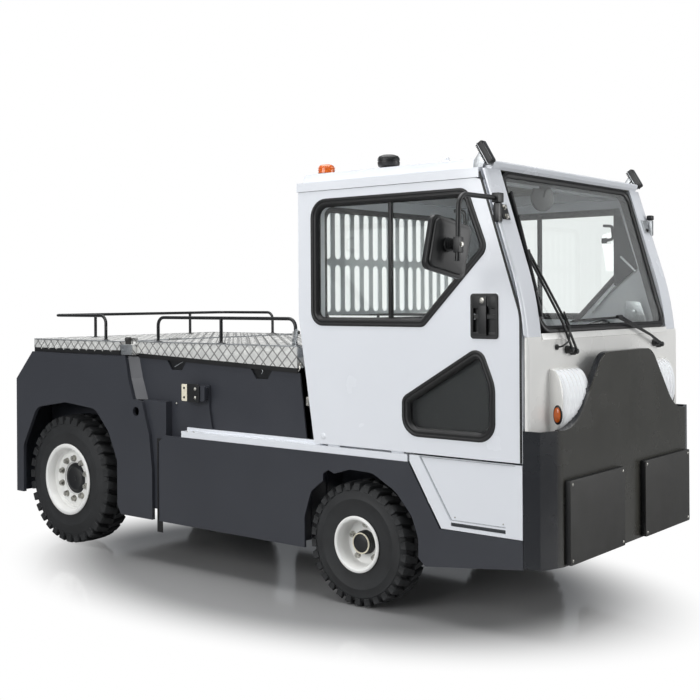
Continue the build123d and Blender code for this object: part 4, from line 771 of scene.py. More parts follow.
def wheel_nuts(centre, count, ring, y, across, high):
    """Hexagon nuts with stud ends on a disc whose outside is -Y."""
    places = []
    for index in range(count):
        turn = 2 * math.pi * index / count + math.pi / 2
        places.append((centre[0] + ring * math.cos(turn), centre[1] + y, centre[2] + ring * math.sin(turn)))
    studs = [turned_at([(0, -high - 7), (across * 0.2, -high - 7), (across * 0.26, -high - 5), (across * 0.26, 0),
            (0, 0)], at(*place), OUT, 10) for place in places]
    return joined(spotted(hex_head(across, high, 3), places), *studs)


def rear_wheels():
    centre = (0, -REAR_WHEEL_Y, REAR_TYRE_R)
    place = Matrix.Translation(at(*centre))
    tyre("rear_tread", REAR_TYRE_R, REAR_TYRE_W, 190, 32, 24, (20, 22.5, 22.5, 21, 16), (0, 0, 0, 13, 27), centre,
            "rear_wheel_{side}", ["rear_tyre_{side}"])
    rim = turned([(55.3, -34), (92, -34), (96, -37), (98, -45), (101, -47), (146, -47), (152, -45), (160, -40),
            (168, -41), (172, -47), (175, -53), (178, -56), (179, -84), (182, -88), (184, -98), (189, -104),
            (196, -106.5), (205, -106), (210.5, -102), (211.5, -98), (209, -95.3), (190, -95.3), (190, 83), (180, 83),
            (180, -30), (55.3, -24)], 112)
    pair("rear_wheel_rim", moved(rim, place), "wheel_enamel", "rear_wheel_{side}", ["rear_rim_{side}"])
    cap = turned([(0, -44), (10, -44), (12, -41.5), (58, -41.5), (62, -44), (69, -44), (73, -41), (84, -40.5),
            (90, -38), (91, -34), (0, -34)], 80)
    pair("rear_hub_cap", moved(cap, place), "black_tube_paint", "rear_wheel_{side}")
    pair("rear_wheel_nuts", wheel_nuts(centre, 10, 120, -47, 27, 17), "zinc_plate", "rear_wheel_{side}")


def front_wheels():
    centre = (WHEELBASE, -FRONT_WHEEL_Y, FRONT_TYRE_R)
    place = Matrix.Translation(at(*centre))
    tyre("front_tread", FRONT_TYRE_R, FRONT_TYRE_W, 122, 30, 18, (16.5, 18.5, 18.5, 17, 14), (0, 0, 0, 10, 22),
            centre, "front_wheel_{side}", ["front_tyre_{side}"])
    rim = turned([(26.3, -10), (98, -10), (104, -13), (107, -19), (108, -34), (109, -52), (110, -72), (113, -76),
            (114, -86), (118, -91), (124, -93), (130, -91.5), (133.4, -88), (133.6, -85), (131, -82.8), (122, -82.8),
            (122, 70), (112, 70), (112, -4), (26.3, -2)], 96)
    pair("front_wheel_rim", moved(rim, place), "wheel_enamel", "front_wheel_{side}", ["front_rim_{side}"])
    hub = turned([(0, -60), (18, -59.5), (34, -57), (43, -53), (44, -50), (50, -50), (52, -47), (53, -42), (53, -34),
            (56, -30), (57, -10), (0, -10)], 64)
    pair("front_hub", moved(hub, place), "black_casting", "front_wheel_{side}")
    ring = turned([(44, -50), (44, -54.5), (45.5, -56), (48.5, -56), (50, -54.5), (50, -50)], 64)
    pair("front_hub_ring", moved(ring, place), "cream_nylon", "front_wheel_{side}")
    pair("front_wheel_nuts", wheel_nuts(centre, 5, 84, -10, 22, 14), "zinc_plate", "front_wheel_{side}")


# Deck

TREAD_GROUP_STEP, TREAD_BAR_STEP, TREAD_MARGIN = 0.0516, 0.0092, 0.026


def tread_group():
    """Five parallel raised bars of rolled tread plate, standing on z = 0."""
    bars = []
    for index in range(-2, 3):
        long = 40.0 - 2.0 * abs(index)
        bar = prism(flat((-long / 2, 0), (-long / 4, -2.6), (long / 4, -2.6), (long / 2, 0), (long / 4, 2.6),
                (-long / 4, 2.6)), -0.4, 1.3, lambda u, v, depth: Vector((u, v, depth)) / 1000)
        top = [e for e in bar.edges if all(v.co.z > 0.001 for v in e.verts)]
        soften(bar, top, 0.9, 1)
        moved(bar, Matrix.Translation((0, index * TREAD_BAR_STEP, 0)))
        bars.append(bar)
    return joined(*bars)


def tread_sheet(half_length, half_width, across):
    """Raised pattern over a sheet about the origin, lying on z = 0, in millimetres."""
    return repeated("plate", tread_group(), "tread_plate", across=across, pitch=TREAD_GROUP_STEP,
            half_length=half_length / 1000 - TREAD_MARGIN, half_width=half_width / 1000 - TREAD_MARGIN)


def lid_tread():
    """Raised tread pattern on both lids and on their side flanges."""
    for body, across in (("rear_lid", 34), ("front_lid", 38)):
        rear, front, half = LIDS[body]
        middle, long = (rear + front) / 2, (front - rear) / 2
        top = moved(tread_sheet(long - 6, half - 6, across), Matrix.Translation(at(middle, 0, LID_TOP)))
        stand = Matrix.Translation(at(middle, -half, LID_TOP - 36)) @ Matrix.Rotation(math.pi / 2, 4, "X")
        side = moved(tread_sheet(long - 2, 34, across), stand)
        piece(body + "_tread_bars", joined(top, side, twin(side)), "tread_plate", body)


# Door

UPPER_WINDOW = flat((1966, 1322, 70), (1966, 1931, 90), (2868, 1931, 60), (2972, 1662, 60), (2632, 1322, 43))
LOWER_WINDOW = flat((2510, 829, 88), (3004, 829, 85), (3004, 1075, 180), (2932, 1250, 55), (2510, 1003, 46))
PANE_Y = SIDE + 19.0
REAR_PANE_X = 1903


def window_rubber(corners):
    """Extruded rubber round a pane: an outer lip, a groove and a rounded lip on the glass."""
    face, pane = SIDE, PANE_Y
    section = [(0.5, face - 0.4), (-1, face - 3.6), (-4, face - 5), (-11, face - 5), (-14, face - 3.6),
            (-15.5, face + 1.5), (-17.5, face + 1.5), (-19, face - 1.6), (-23, face - 3), (-28, face - 2),
            (-33, face + 3), (-38, face + 9), (-41, pane - 5), (-41, pane - 3.2), (-36.5, pane - 3.2),
            (-36.5, pane + 3.2), (-41, pane + 3.2), (-38, pane + 12), (-30, face + 40.5), (-8, face + 41),
            (-6, face + 38.2), (-20.5, face + 38.2), (-20.5, face - 0.4)]
    return bead(corners, section, on_side, 8)


def door_frames():
    rubber = joined(window_rubber(UPPER_WINDOW), window_rubber(LOWER_WINDOW))
    pair("door_window_rubber", rubber, "seal_rubber", "door_{side}", ["door_trim_{side}"])
    for side, x, turn in (("right", 2428, joined), ("left", 2358, twin)):
        bar = joined(slab(x, x + 18, SIDE + 9, SIDE + 30, 1358, 1895, 2),
                slab(x + 20.5, x + 24, SIDE + 13, SIDE + 16, 1360, 1893, 0.8))
        piece("window_bar_" + side, turn(bar), "seal_rubber", "door_" + side)


def door_edges():
    """Black seal along the door's front edge, and a black sheet behind its lower pane that is painted shade inside the
    door.
    """
    seal = bead([((3130, 756), 0), ((3130, 1380), 120), ((seam_x(1996) - 7, 1996), 0)], [(-6, SIDE + 0.4),
            (-6, SIDE - 1.6), (5, SIDE - 1.6), (5, SIDE + 0.4)], on_side, 8, False)
    pair("door_front_seal", seal, "seal_rubber", "door_{side}")
    # Painted shade: a black sheet behind the lower pane darkens what shows through it.
    lining = prism(flat((2520, 850, 60), (2990, 850, 60), (2990, 1070, 150), (2926, 1228, 40), (2520, 992, 30)),
            -717.5, -714, on_side)
    pair("lower_lining", lining, "black_moulding", "door_{side}")


def door_handle():
    """Recessed pull: a rounded plate with two wells beside an upright grip, and a lock barrel."""
    low, high, rear, front, face = 1275, 1471, 2882, 3024, SIDE - 6
    plate = bead(oblong(rear, front, low, high, 16), [(0, SIDE - 0.2), (-0.5, face + 2.5), (-3.5, face), (-14, face),
            (-15.5, face + 3), (-15.5, SIDE + 12), (-13, SIDE + 12), (-13, SIDE - 0.2)], on_side, 6)
    strips = [slab(x0, x1, face, SIDE + 4, z0, z1, 2.5)
            for x0, x1 in ((rear + 12, rear + 83), (rear + 93, front - 12))
            for z0, z1 in ((low + 12, low + 30), (high - 64, high - 12))]
    grip = slab(rear + 42, rear + 83, face - 2, SIDE + 5, low + 22, high - 52, 4)
    sides = [slab(x, x + 4, face, SIDE + 12, low + 22, high - 52, 1) for x in (rear + 12, front - 16)]
    well = prism(oblong(rear + 12, front - 12, low + 12, high - 12, 10), SIDE + 11, SIDE + 13.6, on_side)
    backs = [slab(rear + 12, front - 12, SIDE - 1.6, SIDE + 4, low + z0, low + z1, 0)
            for z0, z1 in ((87, 105), (141, 186), (10, 15))]
    pair("door_handle", joined(plate, grip, well, *backs, *strips, *sides), "black_moulding", "door_{side}")
    lock = turned_at([(0, -2.2), (5, -2.2), (5.5, -3.4), (10, -3.4), (12.5, -1.8), (13, 0), (0, 0)],
            at((rear + front) / 2 - 10, face, high - 30), OUT, 24)
    slot = brick(((rear + front) / 2 - 10, face - 2.6, high - 30), (1.6, 1.2, 8), 0.3)
    pair("door_lock", joined(lock, slot), "zinc_plate", "door_{side}")
    edge = bead(oblong(rear - 2.5, front + 2.5, low - 2.5, high + 2.5, 18), [(0, SIDE), (0, SIDE - 1.5),
            (-3, SIDE - 1.8), (-3, SIDE)], on_side, 6)
    pair("handle_escutcheon", edge, "white_cab_enamel", "door_{side}")


# Glass and windshield

def on_wind(u, v, out):
    """Point by width, distance up the windshield's slope and height off the pane."""
    return at(3130 - 0.2819 * v + 0.9594 * out, u, 1288 + 0.9594 * v + 0.2819 * out)


def glass_rubbers():
    """Windshield rubber with a filler strip, and the rear window's rubber."""
    corners = oblong(-638, 638, 2, 744, 72)
    rubber = bead(corners, [(0, -13), (0, 34), (-3, 38), (-10, 39.5), (-12, 36), (-15, 36), (-18, 39), (-25, 38),
            (-31, 34), (-31, 31.3), (-24, 31.3), (-24, 26.7), (-31, 26.7), (-28, -13)], on_wind, 8)
    x = REAR_PANE_X
    back = bead(oblong(-590, 590, 1335, 1900, 60), [(12, x - 12), (12, x - 17), (8, x - 19), (-6, x - 17),
            (-14, x - 9), (-16, x - 3.2), (-0.6, x - 3.2), (-0.6, x + 3.2), (-16, x + 3.2), (-12, x + 13),
            (6, x + 15), (12, x + 13), (12, x + 11.2), (-0.6, x + 11.2), (-0.6, x - 11.2), (12, x - 11.2)],
            on_front, 8)
    piece("glass_rubbers", joined(rubber, back), "seal_rubber", "chassis", ["glass_seals"])
    pane = prism(oblong(-612, 612, 28, 718, 50), 27, 31, on_wind)
    sill = prism(oblong(-639, 639, -27, 1.5), -6, 33, on_wind, 2)
    piece("windshield_sill", sill, "cowl_enamel")
    rear_pane = prism(oblong(-588, 588, 1337, 1898, 55), x - 2.5, x + 2.5, on_front)
    piece("cab_panes", joined(pane, rear_pane), "float_glass", "chassis", ["cab_glass"])


# Lamps, mirrors and wipers

def roof_work_lamps():
    """Slim corner work lamps with finned backs, bright edge frames and bolted brackets."""
    place, turn = Vector((2950, -736, 2078)), tilt(y=-31)

    def part(size, edge, x=0.0, z=0.0):
        return brick(place + turn.to_3x3() @ Vector((x, 0, z)), size, edge, turn)

    body = part((30, 36, 108), 4)
    fins = [part((12, 34, 2.6), 0.6, -16.5, z) for z in range(-48, 49, 8)]
    lens, rims = part((4, 28, 98), 1, 15.5), part((3, 39, 111), 1, -10)
    wire = rod([(2938, -728, 2070), (2916, -724, 2050), (2898, -718, 2022), (2890, -712, 2017)], 3.2, 12, 8)
    pair("corner_lamp_body", joined(body, wire, *fins), "black_moulding")
    pair("corner_lamp_lens", lens, "smoked_lens")
    pair("corner_lamp_rim", rims, "galvanised_steel")
    rear = 2880
    upright = prism(flat((rear, 2015.5), (rear + 46, 2015.5), (rear + 66, 2050), (rear + 76, 2094, 8),
            (rear + 40, 2094, 8), (rear + 4, 2050, 6)), -732, -727, on_side, 0.8)
    foot = slab(rear - 2, rear + 48, -732, -704, 2015.3, 2019.5, 1)
    bolts = joined(spotted(hex_head(12, 6, 2), [(2948, -732, 2084), (2936, -732, 2062)]),
            spotted(hex_head(11, 6, 2), [(rear + 10, -714, 2019.5), (rear + 36, -714, 2019.5)], UP))
    pair("corner_lamp_bracket", joined(upright, foot, bolts), "galvanised_steel")


def roof_top_pieces():
    """Amber beacon, round work lamp with its wire, and a short white stub."""
    beacon, lamp_place = at(1932, -600, ROOF_TOP), at(2290, -560, ROOF_TOP)
    base = turned_at([(0, -13), (42, -13), (45, -11), (46, -3), (44, 0), (0, 0)], beacon, UP, 40)
    dome = turned_at([(0, -58), (16, -57.6), (28, -55), (36, -50), (39, -44), (40.5, -30), (41.5, -13), (0, -13)],
            beacon, UP, 40)
    ribs = [turned_at([(41.6, -z), (43, -z - 1), (43, -z - 3), (41.2, -z - 4)], beacon, UP, 40) for z in (18, 28, 38)]
    lamp = turned_at([(0, -10), (20, -10), (22, -16), (40, -18), (50, -24), (53.5, -34), (54, -44), (51.5, -46),
            (51.5, -49), (54, -51), (53, -62), (46, -72), (30, -78), (0, -80)], lamp_place, UP, 44)
    foot = turned_at([(0, -12), (26, -12), (30, -8), (34, -2), (34, 0), (0, 0)], lamp_place, UP, 28)
    wire = rod([(2290, -540, 2083), (2262, -520, 2077), (2240, -516, 2064), (2170, -500, 2065)], 3.5, 14, 8)
    grommet = turned_at([(0, -9), (6, -9), (11, -5), (12, 0), (0, 0)], at(2170, -500, ROOF_TOP - 1), UP, 16)
    piece("beacon_base", joined(base, lamp, foot, wire, grommet), "black_moulding", "chassis", ["roof_lamps"])
    piece("beacon_dome", joined(dome, *ribs), "amber_lens")
    stub = turned_at([(0, -22), (8, -22), (13, -18), (15, -8), (22, -3), (24, 0), (0, 0)],
            at(2711, -688, ROOF_TOP - 1), UP, 24)
    piece("roof_stub", stub, "white_cab_enamel")


def seam_x(z):
    return 3137 - 0.322 * (z - 1380)


def mirror_bracket():
    """Clamp body on the pillar's corner and its bolted plate on the front face."""
    low, high = seam_x(1786), seam_x(1852)
    plate = prism(flat((low + 28, 1786), (low + 35, 1786), (high + 35, 1852), (high + 28, 1852)),
            -742, -686, on_side, 1)
    body = brick((3028, -768, 1814), (26, 32, 80), 4)
    lip = slab(3000, 3026, SIDE - 2, SIDE + 18, 1790, 1848, 1.5)
    return joined(plate, body, lip)


def right_mirror():
    """Mirror head on a ribbed pivot behind a bent tube arm, with its clamp."""
    own = on_own(Matrix.Translation(at(2976, -1070, 1660)) @ tilt(-12.5, 2.5, -12))
    shell = prism(oblong(-112, 112, -114, 114, 30), -20, 6, own, 5)
    bulge = prism(oblong(-98, 98, -100, 100, 26), 2, 17, own, 9)
    arm = rod([(3022, SIDE - 4, 1876), (3040, -1084, 1872), (3040, -1094, 1606)], 10.5, 58, 16)
    tip = turned_at([(0, -6), (8, -6), (12, -4), (12, 12), (0, 12)], at(3040, -1094, 1606), (0, 0, -1), 16)
    pivot = turned_at([(0, -46), (14, -46), (17, -42), (13, -38), (20, -34), (15, -29), (23, -25), (17, -20),
            (27, -15), (20, -9), (30, -4), (30, 0), (0, 0)], at(2990, -1090, 1667), AHEAD, 24)
    block = brick((3040, -1090, 1666), (30, 34, 64), 4)
    knuckle = brick((3029, -771, 1876), (34, 46, 42), 5)
    piece("mirror_head", joined(shell, bulge, arm, tip, pivot, block, knuckle), "black_moulding", "chassis",
            ["mirrors"])
    glass = prism(oblong(-103, 103, -105, 105, 24), -22, -20.2, own, 0.6)
    piece("mirror_glass", glass, "mirror_silver")
    piece("mirror_clamp", mirror_bracket(), "black_tube_paint")
    plate = prism(flat((seam_x(1772) + 28.2, 1772), (seam_x(1772) + 30, 1772), (seam_x(1866) + 30, 1866),
            (seam_x(1866) + 28.2, 1866)), -744, -672, on_side, 0.4)
    piece("mirror_packing", plate, "white_cab_enamel")
    bolts = joined(spotted(hex_head(17, 8, 2.5), [(seam_x(z) + 34, -712, z) for z in (1799, 1839)], (0.95, 0, 0.31)),
            spotted(hex_head(14, 6, 2), [(3055, -1090, 1667)], AHEAD))
    piece("mirror_bolts", bolts, "zinc_plate")


def left_clamp():
    """Bare left clamp: a silver half under a small black cap, with a small black bolt."""
    inward = Matrix.Translation((0, -0.02, 0))
    piece("left_clamp", moved(twin(mirror_bracket()), inward), "galvanised_steel")
    cap = brick((3030, 747, 1868), (30, 34, 26), 7)
    bolt = spotted(hex_head(14, 7, 2), [(seam_x(1799) + 34, 692, 1799)], (0.95, 0, 0.31))
    piece("left_clamp_cap", joined(cap, bolt), "black_moulding")


def wiper(hub_y, foot, tip, share):
    """Pantograph wiper: two hubs, two arms, a carrier plate and a blade with its rubber."""
    middle = (foot[0] + (tip[0] - foot[0]) * share, foot[1] + (tip[1] - foot[1]) * share)
    along = Vector((tip[0] - foot[0], tip[1] - foot[1])).normalized()
    starts = ((hub_y, 1222), (hub_y + 44, 1214))
    hub = [turned_at([(0, -34), (9, -34), (12, -31), (13, -20), (17, -18), (18, 0), (0, 0)], at(3167, y, z),
            AHEAD, 20) for y, z in starts]
    carrier = [middle, (middle[0] + along.x * 46, middle[1] + along.y * 46)]
    arms = []
    for start, end in zip(starts, carrier):
        end_at = on_wind(*end, 62)
        start_at = at(3196, *start)
        bend = start_at.lerp(end_at, 0.3) + Vector((0.012, 0, 0.004))
        arms.append(pipe([(start_at, 0), (bend, 0.03), (end_at, 0)], 0.0058, 8))
    plate = pipe([(on_wind(*end, 62), 0) for end in carrier], 0.009, 8)

    def blade(u, v, depth):
        point = (foot[0] + along.x * u - along.y * v, foot[1] + along.y * u + along.x * v)
        return on_wind(point[0], point[1], depth)

    long = math.hypot(tip[0] - foot[0], tip[1] - foot[1])
    spine = prism(oblong(0, long, -5, 5, 2), 50, 56, blade, 1.5)
    yoke = prism(oblong(long * 0.2, long * 0.8, -3.5, 3.5), 55, 61, blade, 1.5)
    rubber = prism(oblong(3, long - 3, -1.6, 1.6), 34, 51, blade)
    return joined(spine, yoke, rubber, plate, *hub, *arms)


def wipers():
    right = wiper(-430, (-630, 70), (-612, 640), 0.44)
    left = wiper(472, (130, 56), (-372, 46), 0.06)
    hose = rod([(3168, -520, 1236), (3196, -520, 1240), (3206, -478, 1262), (3192, -452, 1330), (3176, -470, 1390)],
            4, 16, 8)
    grommet = turned_at([(0, -8), (7, -8), (12, -5), (13, 0), (0, 0)], at(3167, -520, 1236), AHEAD, 16)
    piece("pantograph_wipers", joined(right, left, hose, grommet), "black_moulding", "chassis", ["wipers"])


def lamp_face(z_low, z_high, bulge):
    """Side profile of a bulging lamp face before the cowl as (x, z) points."""
    points = []
    for step in range(15):
        share = step / 14
        angle = math.pi * share
        points.append((3167 + bulge * math.sin(angle) ** 0.8, z_low + (z_high - z_low) * (1 - math.cos(angle)) / 2))
    return points


def barrel(stations, z_low, z_high):
    """Lamp glass whose bulge changes over the width; stations are (y, bulge)."""
    return skinned([[at(x, y, z) for x, z in lamp_face(z_low, z_high, bulge)] for y, bulge in stations])


def headlamps():
    """Ribbed lamp glass in a white rim, with an amber oval marker in a black seat on the outer end."""
    stations = [(-574, 56), (-570, 64)]
    for y in range(-566, -386, 36):
        stations += [(y, 64), (y + 4, 74), (y + 27, 76), (y + 31, 66)]
    stations += [(-380, 66), (-376, 72), (-356, 72), (-352, 60), (-350, 50)]
    pair("headlamp_glass", barrel(stations, 876, 1140), "lamp_lens", "chassis", ["headlamps"], 30.0)
    rim = [barrel([(-586, 52), (-584, 60), (-577, 62), (-573, 58)], 870, 1144),
            slab(3167, 3178, -584, -346, 1136, 1145, 2.5), slab(3167, 3178, -348, -340, 876, 1144, 2.5)]
    pair("headlamp_rim", joined(*rim), "cowl_enamel")
    stand = Matrix.Translation(at(3206, -584.5, 950)) @ Matrix.Diagonal((1, 1, 2.0, 1))
    oval = turned_at([(0, -11), (13, -10), (16, -7), (16.5, 0), (0, 0)], Vector((0, 0, 0)), OUT, 32)
    pair("side_marker", moved(oval, stand), "amber_lens", "chassis", ["marker_lamps"])
    seat = turned_at([(0, -4), (19, -4), (21, -2), (21, 4), (0, 4)], Vector((0, 0, 0)), OUT, 32)
    pair("marker_seat", moved(seat, stand), "black_moulding")


def tail_lamps():
    """Rounded red lamps in a black frame on the rear panel."""
    lens = prism(oblong(-697, -583, 763, 857, 14), -499, -482, on_front, 4)
    frame_ring = bead(oblong(-700, -580, 760, 860, 16), [(0, -470), (0, -484), (-2, -487), (-5, -487), (-6, -484),
            (-6, -470)], on_front, 5)
    pair("tail_lens", lens, "red_lens")
    pair("tail_frame", frame_ring, "black_moulding")


def bumper_pads():
    """Moulded rubber faces on black backs, with a bright screw in each corner and bolts in the inner sides."""
    pads, blocks, screws = [], [], []
    for low, high in ((-625, -110), (110, 625)):
        face = oblong(low, high, 323, 681, 7)
        pads.append(prism(face, 3283, 3287.5, on_front, 1.5))
        blocks.append(prism(face, 3260.3, 3285, on_front, 2))
        screws += [(3286, y, z) for y in (low + 19, high - 19) for z in (341, 663)]
    piece("pads_of_bumper", joined(*pads), "pad_rubber", "chassis", ["bumper_pads"])
    piece("pad_backs", joined(*blocks), "black_moulding")
    piece("pad_screws", spotted(button_head(14, 4), screws, AHEAD), "zinc_plate")
    bolts = [spotted(hex_head(11, 4), [(3272, y, z) for z in (335, 387, 447)], (0, -y, 0), "black_moulding")
            for y in (-109.8, 109.8)]
    piece("pad_side_bolts", joined(*bolts), "black_moulding")


def rail(name, bars, feet, body, node):
    """Bent tubes on flanged feet."""
    flange = [(0, -7), (11, -7), (13, -4), (24, -3), (25, 0), (0, 0)]
    tubes = [rod(points, 9, bend, 16) for points, bend in bars]
    feet = [turned_at(flange, at(x, y, 1217.2), UP, 20) for x, y in feet]
    piece(name, joined(*tubes, *feet), "black_tube_paint", body, [node])


def rails():
    """Tube rails of the two lids."""
    top, low = 1360, 1218
    bars = [([(335, -705, low), (335, -705, top), (-150, -705, top), (-150, 705, top), (335, 705, top),
            (335, 705, low)], 45)]
    bars += [([(-150, y, low), (-150, y, top)], 0) for y in (-400, 400)]
    rail("rear_deck_rail", bars, [(335, -705), (335, 705), (-150, -400), (-150, 400)], "rear_lid", "rear_lid_rail")
    bars, feet, top = [], [], 1352
    for y in (-679, 679):
        bars += [([(760, y, low), (760, y, top), (1790, y, top), (1790, y, low)], 45),
                ([(1260, y, low), (1260, y, top)], 0)]
        feet += [(760, y), (1260, y), (1790, y)]
    rail("front_deck_rails", bars, feet, "front_lid", "front_lid_rails")


def lid_details():
    """Rolled edges, stop knobs, end caps of the cross channel, the lid's latch lever and its keeper."""
    for name, (rear, front, half) in LIDS.items():
        edge = bead(oblong(rear, front, -half, half, 4), [(1.2, LID_TOP - 4), (1.6, LID_TOP - 1),
                (0.4, LID_TOP + 1.2), (-6, LID_TOP + 1.5), (-7, LID_TOP - 1), (-4, LID_TOP - 4)], on_plan, 4)
        piece(name + "_rolled_edge", edge, "galvanised_steel", name)
    knob = [(0, -40), (13, -40), (19, -36), (21, -28), (20, -20), (17, -14), (17, 0), (0, 0)]
    piece("stop_knobs", joined(*[turned_at(knob, at(548, y, 1199.5), UP, 24) for y in (-716, 716)]), "pad_rubber")
    caps = [slab(517, 612, -746, -740.2, 1142, 1197, 1), slab(519, 610, -752, -745, 1188, 1199, 1.5)]
    screws = spotted(hex_head(11, 5, 1.5), [(x, -746, 1165) for x in (532, 596)])
    pair("channel_end_cap", joined(screws, *caps), "galvanised_steel")
    wave = flat((1786, 1218), (1804, 1218, 5), (1814, 1226, 5), (1809, 1236, 6), (1818, 1246, 6), (1812, 1257, 6),
            (1821, 1268, 6), (1818, 1284, 6), (1824, 1293, 5), (1818, 1302, 6), (1802, 1300, 8), (1794, 1270, 12),
            (1784, 1246, 10))
    lever = prism(wave, -700, -694, on_side, 1.5)
    hinge = [slab(1778, 1812, -704, -688, 1217.5, 1223, 1.5),
            turned_at([(0, -9), (6, -9), (7, -7), (7, 0), (0, 0)], at(1798, -700, 1228), OUT, 16),
            slab(1825.3, 1829, -706, -660, 1160, 1206, 1)]
    piece("lid_latch_lever", joined(lever, *hinge), "galvanised_steel", "front_lid")
    hook = [rod([(1836, -696, 1126), (1836, -700, 1104), (1828, -702, 1092)], 3.5, 5, 8),
            slab(1828, 1846, -704, -690, 1120, 1136, 2)]
    piece("latch_keeper", joined(*hook), "zinc_plate")


def notch_details():
    """Tube end, hook, rings and dark liner that show behind the cover's notches."""
    tube_end = rod([(905, -684, 1082), (1000, -684, 1124)], 6, 0, 10)
    hook = rod([(1560, -686, 1066), (1574, -690, 1082), (1566, -690, 1096), (1556, -686, 1090)], 3, 6, 8)
    pair("notch_tube", joined(tube_end, hook), "galvanised_steel")
    ring = [turned_at([(8, -4), (12, -5), (16, -4), (16, 4), (8, 4)], at(1602, -684, 1078), OUT, 20),
            turned_at([(8, -4), (12, -5), (15, -4), (15, 4), (8, 4)], at(962, -684, 1086), OUT, 20)]
    pair("notch_ring", joined(*ring), "black_moulding")
    liner = slab(780, 1720, -689.5, -687, 1020, 1128, 0)
    pair("cover_liner", liner, "black_tube_paint")


def catch_details():
    """Cream buffer with dark screws and a black block with bright bolts on the door catch."""
    buffer = prism(oblong(1036, 1078, 908, 998, 5), -759, CATCH_FACE, on_side, 2)
    pair("catch_buffer", buffer, "cream_nylon")
    block = prism(flat((1076, 904, 10), (1166, 904, 10), (1170, 920, 8), (1170, 990, 8), (1160, 1002, 10),
            (1076, 1002, 8)), -757.5, CATCH_FACE, on_side, 2)
    screws = spotted(button_head(13, 4), [(1057, -759, z) for z in (928, 978)], OUT, "black_moulding")
    pair("catch_block", joined(block, screws), "black_moulding")
    bolts = joined(spotted(button_head(19, 6), [(1141, -757.5, z) for z in (930, 976)]),
            spotted(button_head(9, 3), [(x, -757.2, 747.5) for x in (1079, 1130)]),
            spotted(button_head(12, 4), [(930, -699, 884)]))
    pair("catch_bolts", bolts, "zinc_plate")


def side_details():
    """Door plug, bracket and rear seal, ribbed rubber on the skirt's edge, step tread and arch walls."""
    plug = turned_at([(0, -3.2), (9, -2.8), (14, -1.6), (16, 0), (0, 0)], at(2039, SIDE, 792), OUT, 24)
    pair("door_plug", plug, "white_cab_enamel", "door_{side}")
    keep = joined(slab(1921, 1937, -752, -736, 930, 974, 2),
            spotted(button_head(9, 3), [(1929, -752, z) for z in (938, 966)]))
    pair("door_edge_bracket", keep, "zinc_plate", "door_{side}")
    strip = [slab(845, 851, SIDE - 4, SIDE + 6, 246, 672, 1.5)]
    strip += [slab(843.5, 849, SIDE - 4.6, SIDE - 1, z, z + 6, 1) for z in range(252, 664, 13)]
    pair("skirt_edge_rubber", joined(*strip), "seal_rubber")
    pair("skirt_gap_plate", slab(822, 866, SIDE + 12, SIDE + 16, 176, 690, 1), "seal_rubber")
    rear_seal = bead([((1981, 764), 0), ((1885, 1362), 60), ((1885, 1962), 0)], [(0, SIDE + 2), (0, SIDE + 36),
            (9, SIDE + 36), (12, SIDE + 28), (9, SIDE + 20), (10, SIDE + 10), (5, SIDE + 2)], on_side, 10, False)
    pair("door_rear_seal", rear_seal, "seal_rubber", "door_{side}")
    tread = [slab(2775, 3047, -757, -750, 451, 465, 1)]
    tread += [slab(2779, 3043, -759.4, -756, z, z + 1.8, 0.5) for z in (453, 456.6, 460.2)]
    pair("step_tread", joined(*tread), "cab_trim")
    groove = bead(flat((2606, 742), (2772, 476), (3052, 476), (3101, 742)), [(0, SIDE + 7.2), (0, SIDE + 3),
            (-1.6, SIDE + 3), (-1.6, SIDE + 7.2)], on_side, 3)
    pair("step_inset_line", groove, "galvanised_steel")
    rivets = spotted(button_head(7, 2.4), [(2790, SIDE + 7, 489), (3036, SIDE + 7, 489)])
    pair("step_rivets", rivets, "zinc_plate")
    wall = prism(oblong(-746, -392, 250, 690, 8), 1846, 1851, on_front, 1)
    ribs = [slab(1851, 1857, y, y + 8, 262, 676, 1.5) for y in (-640, -520)]
    pair("arch_wall", joined(wall, *ribs), "charcoal_powder_coat")


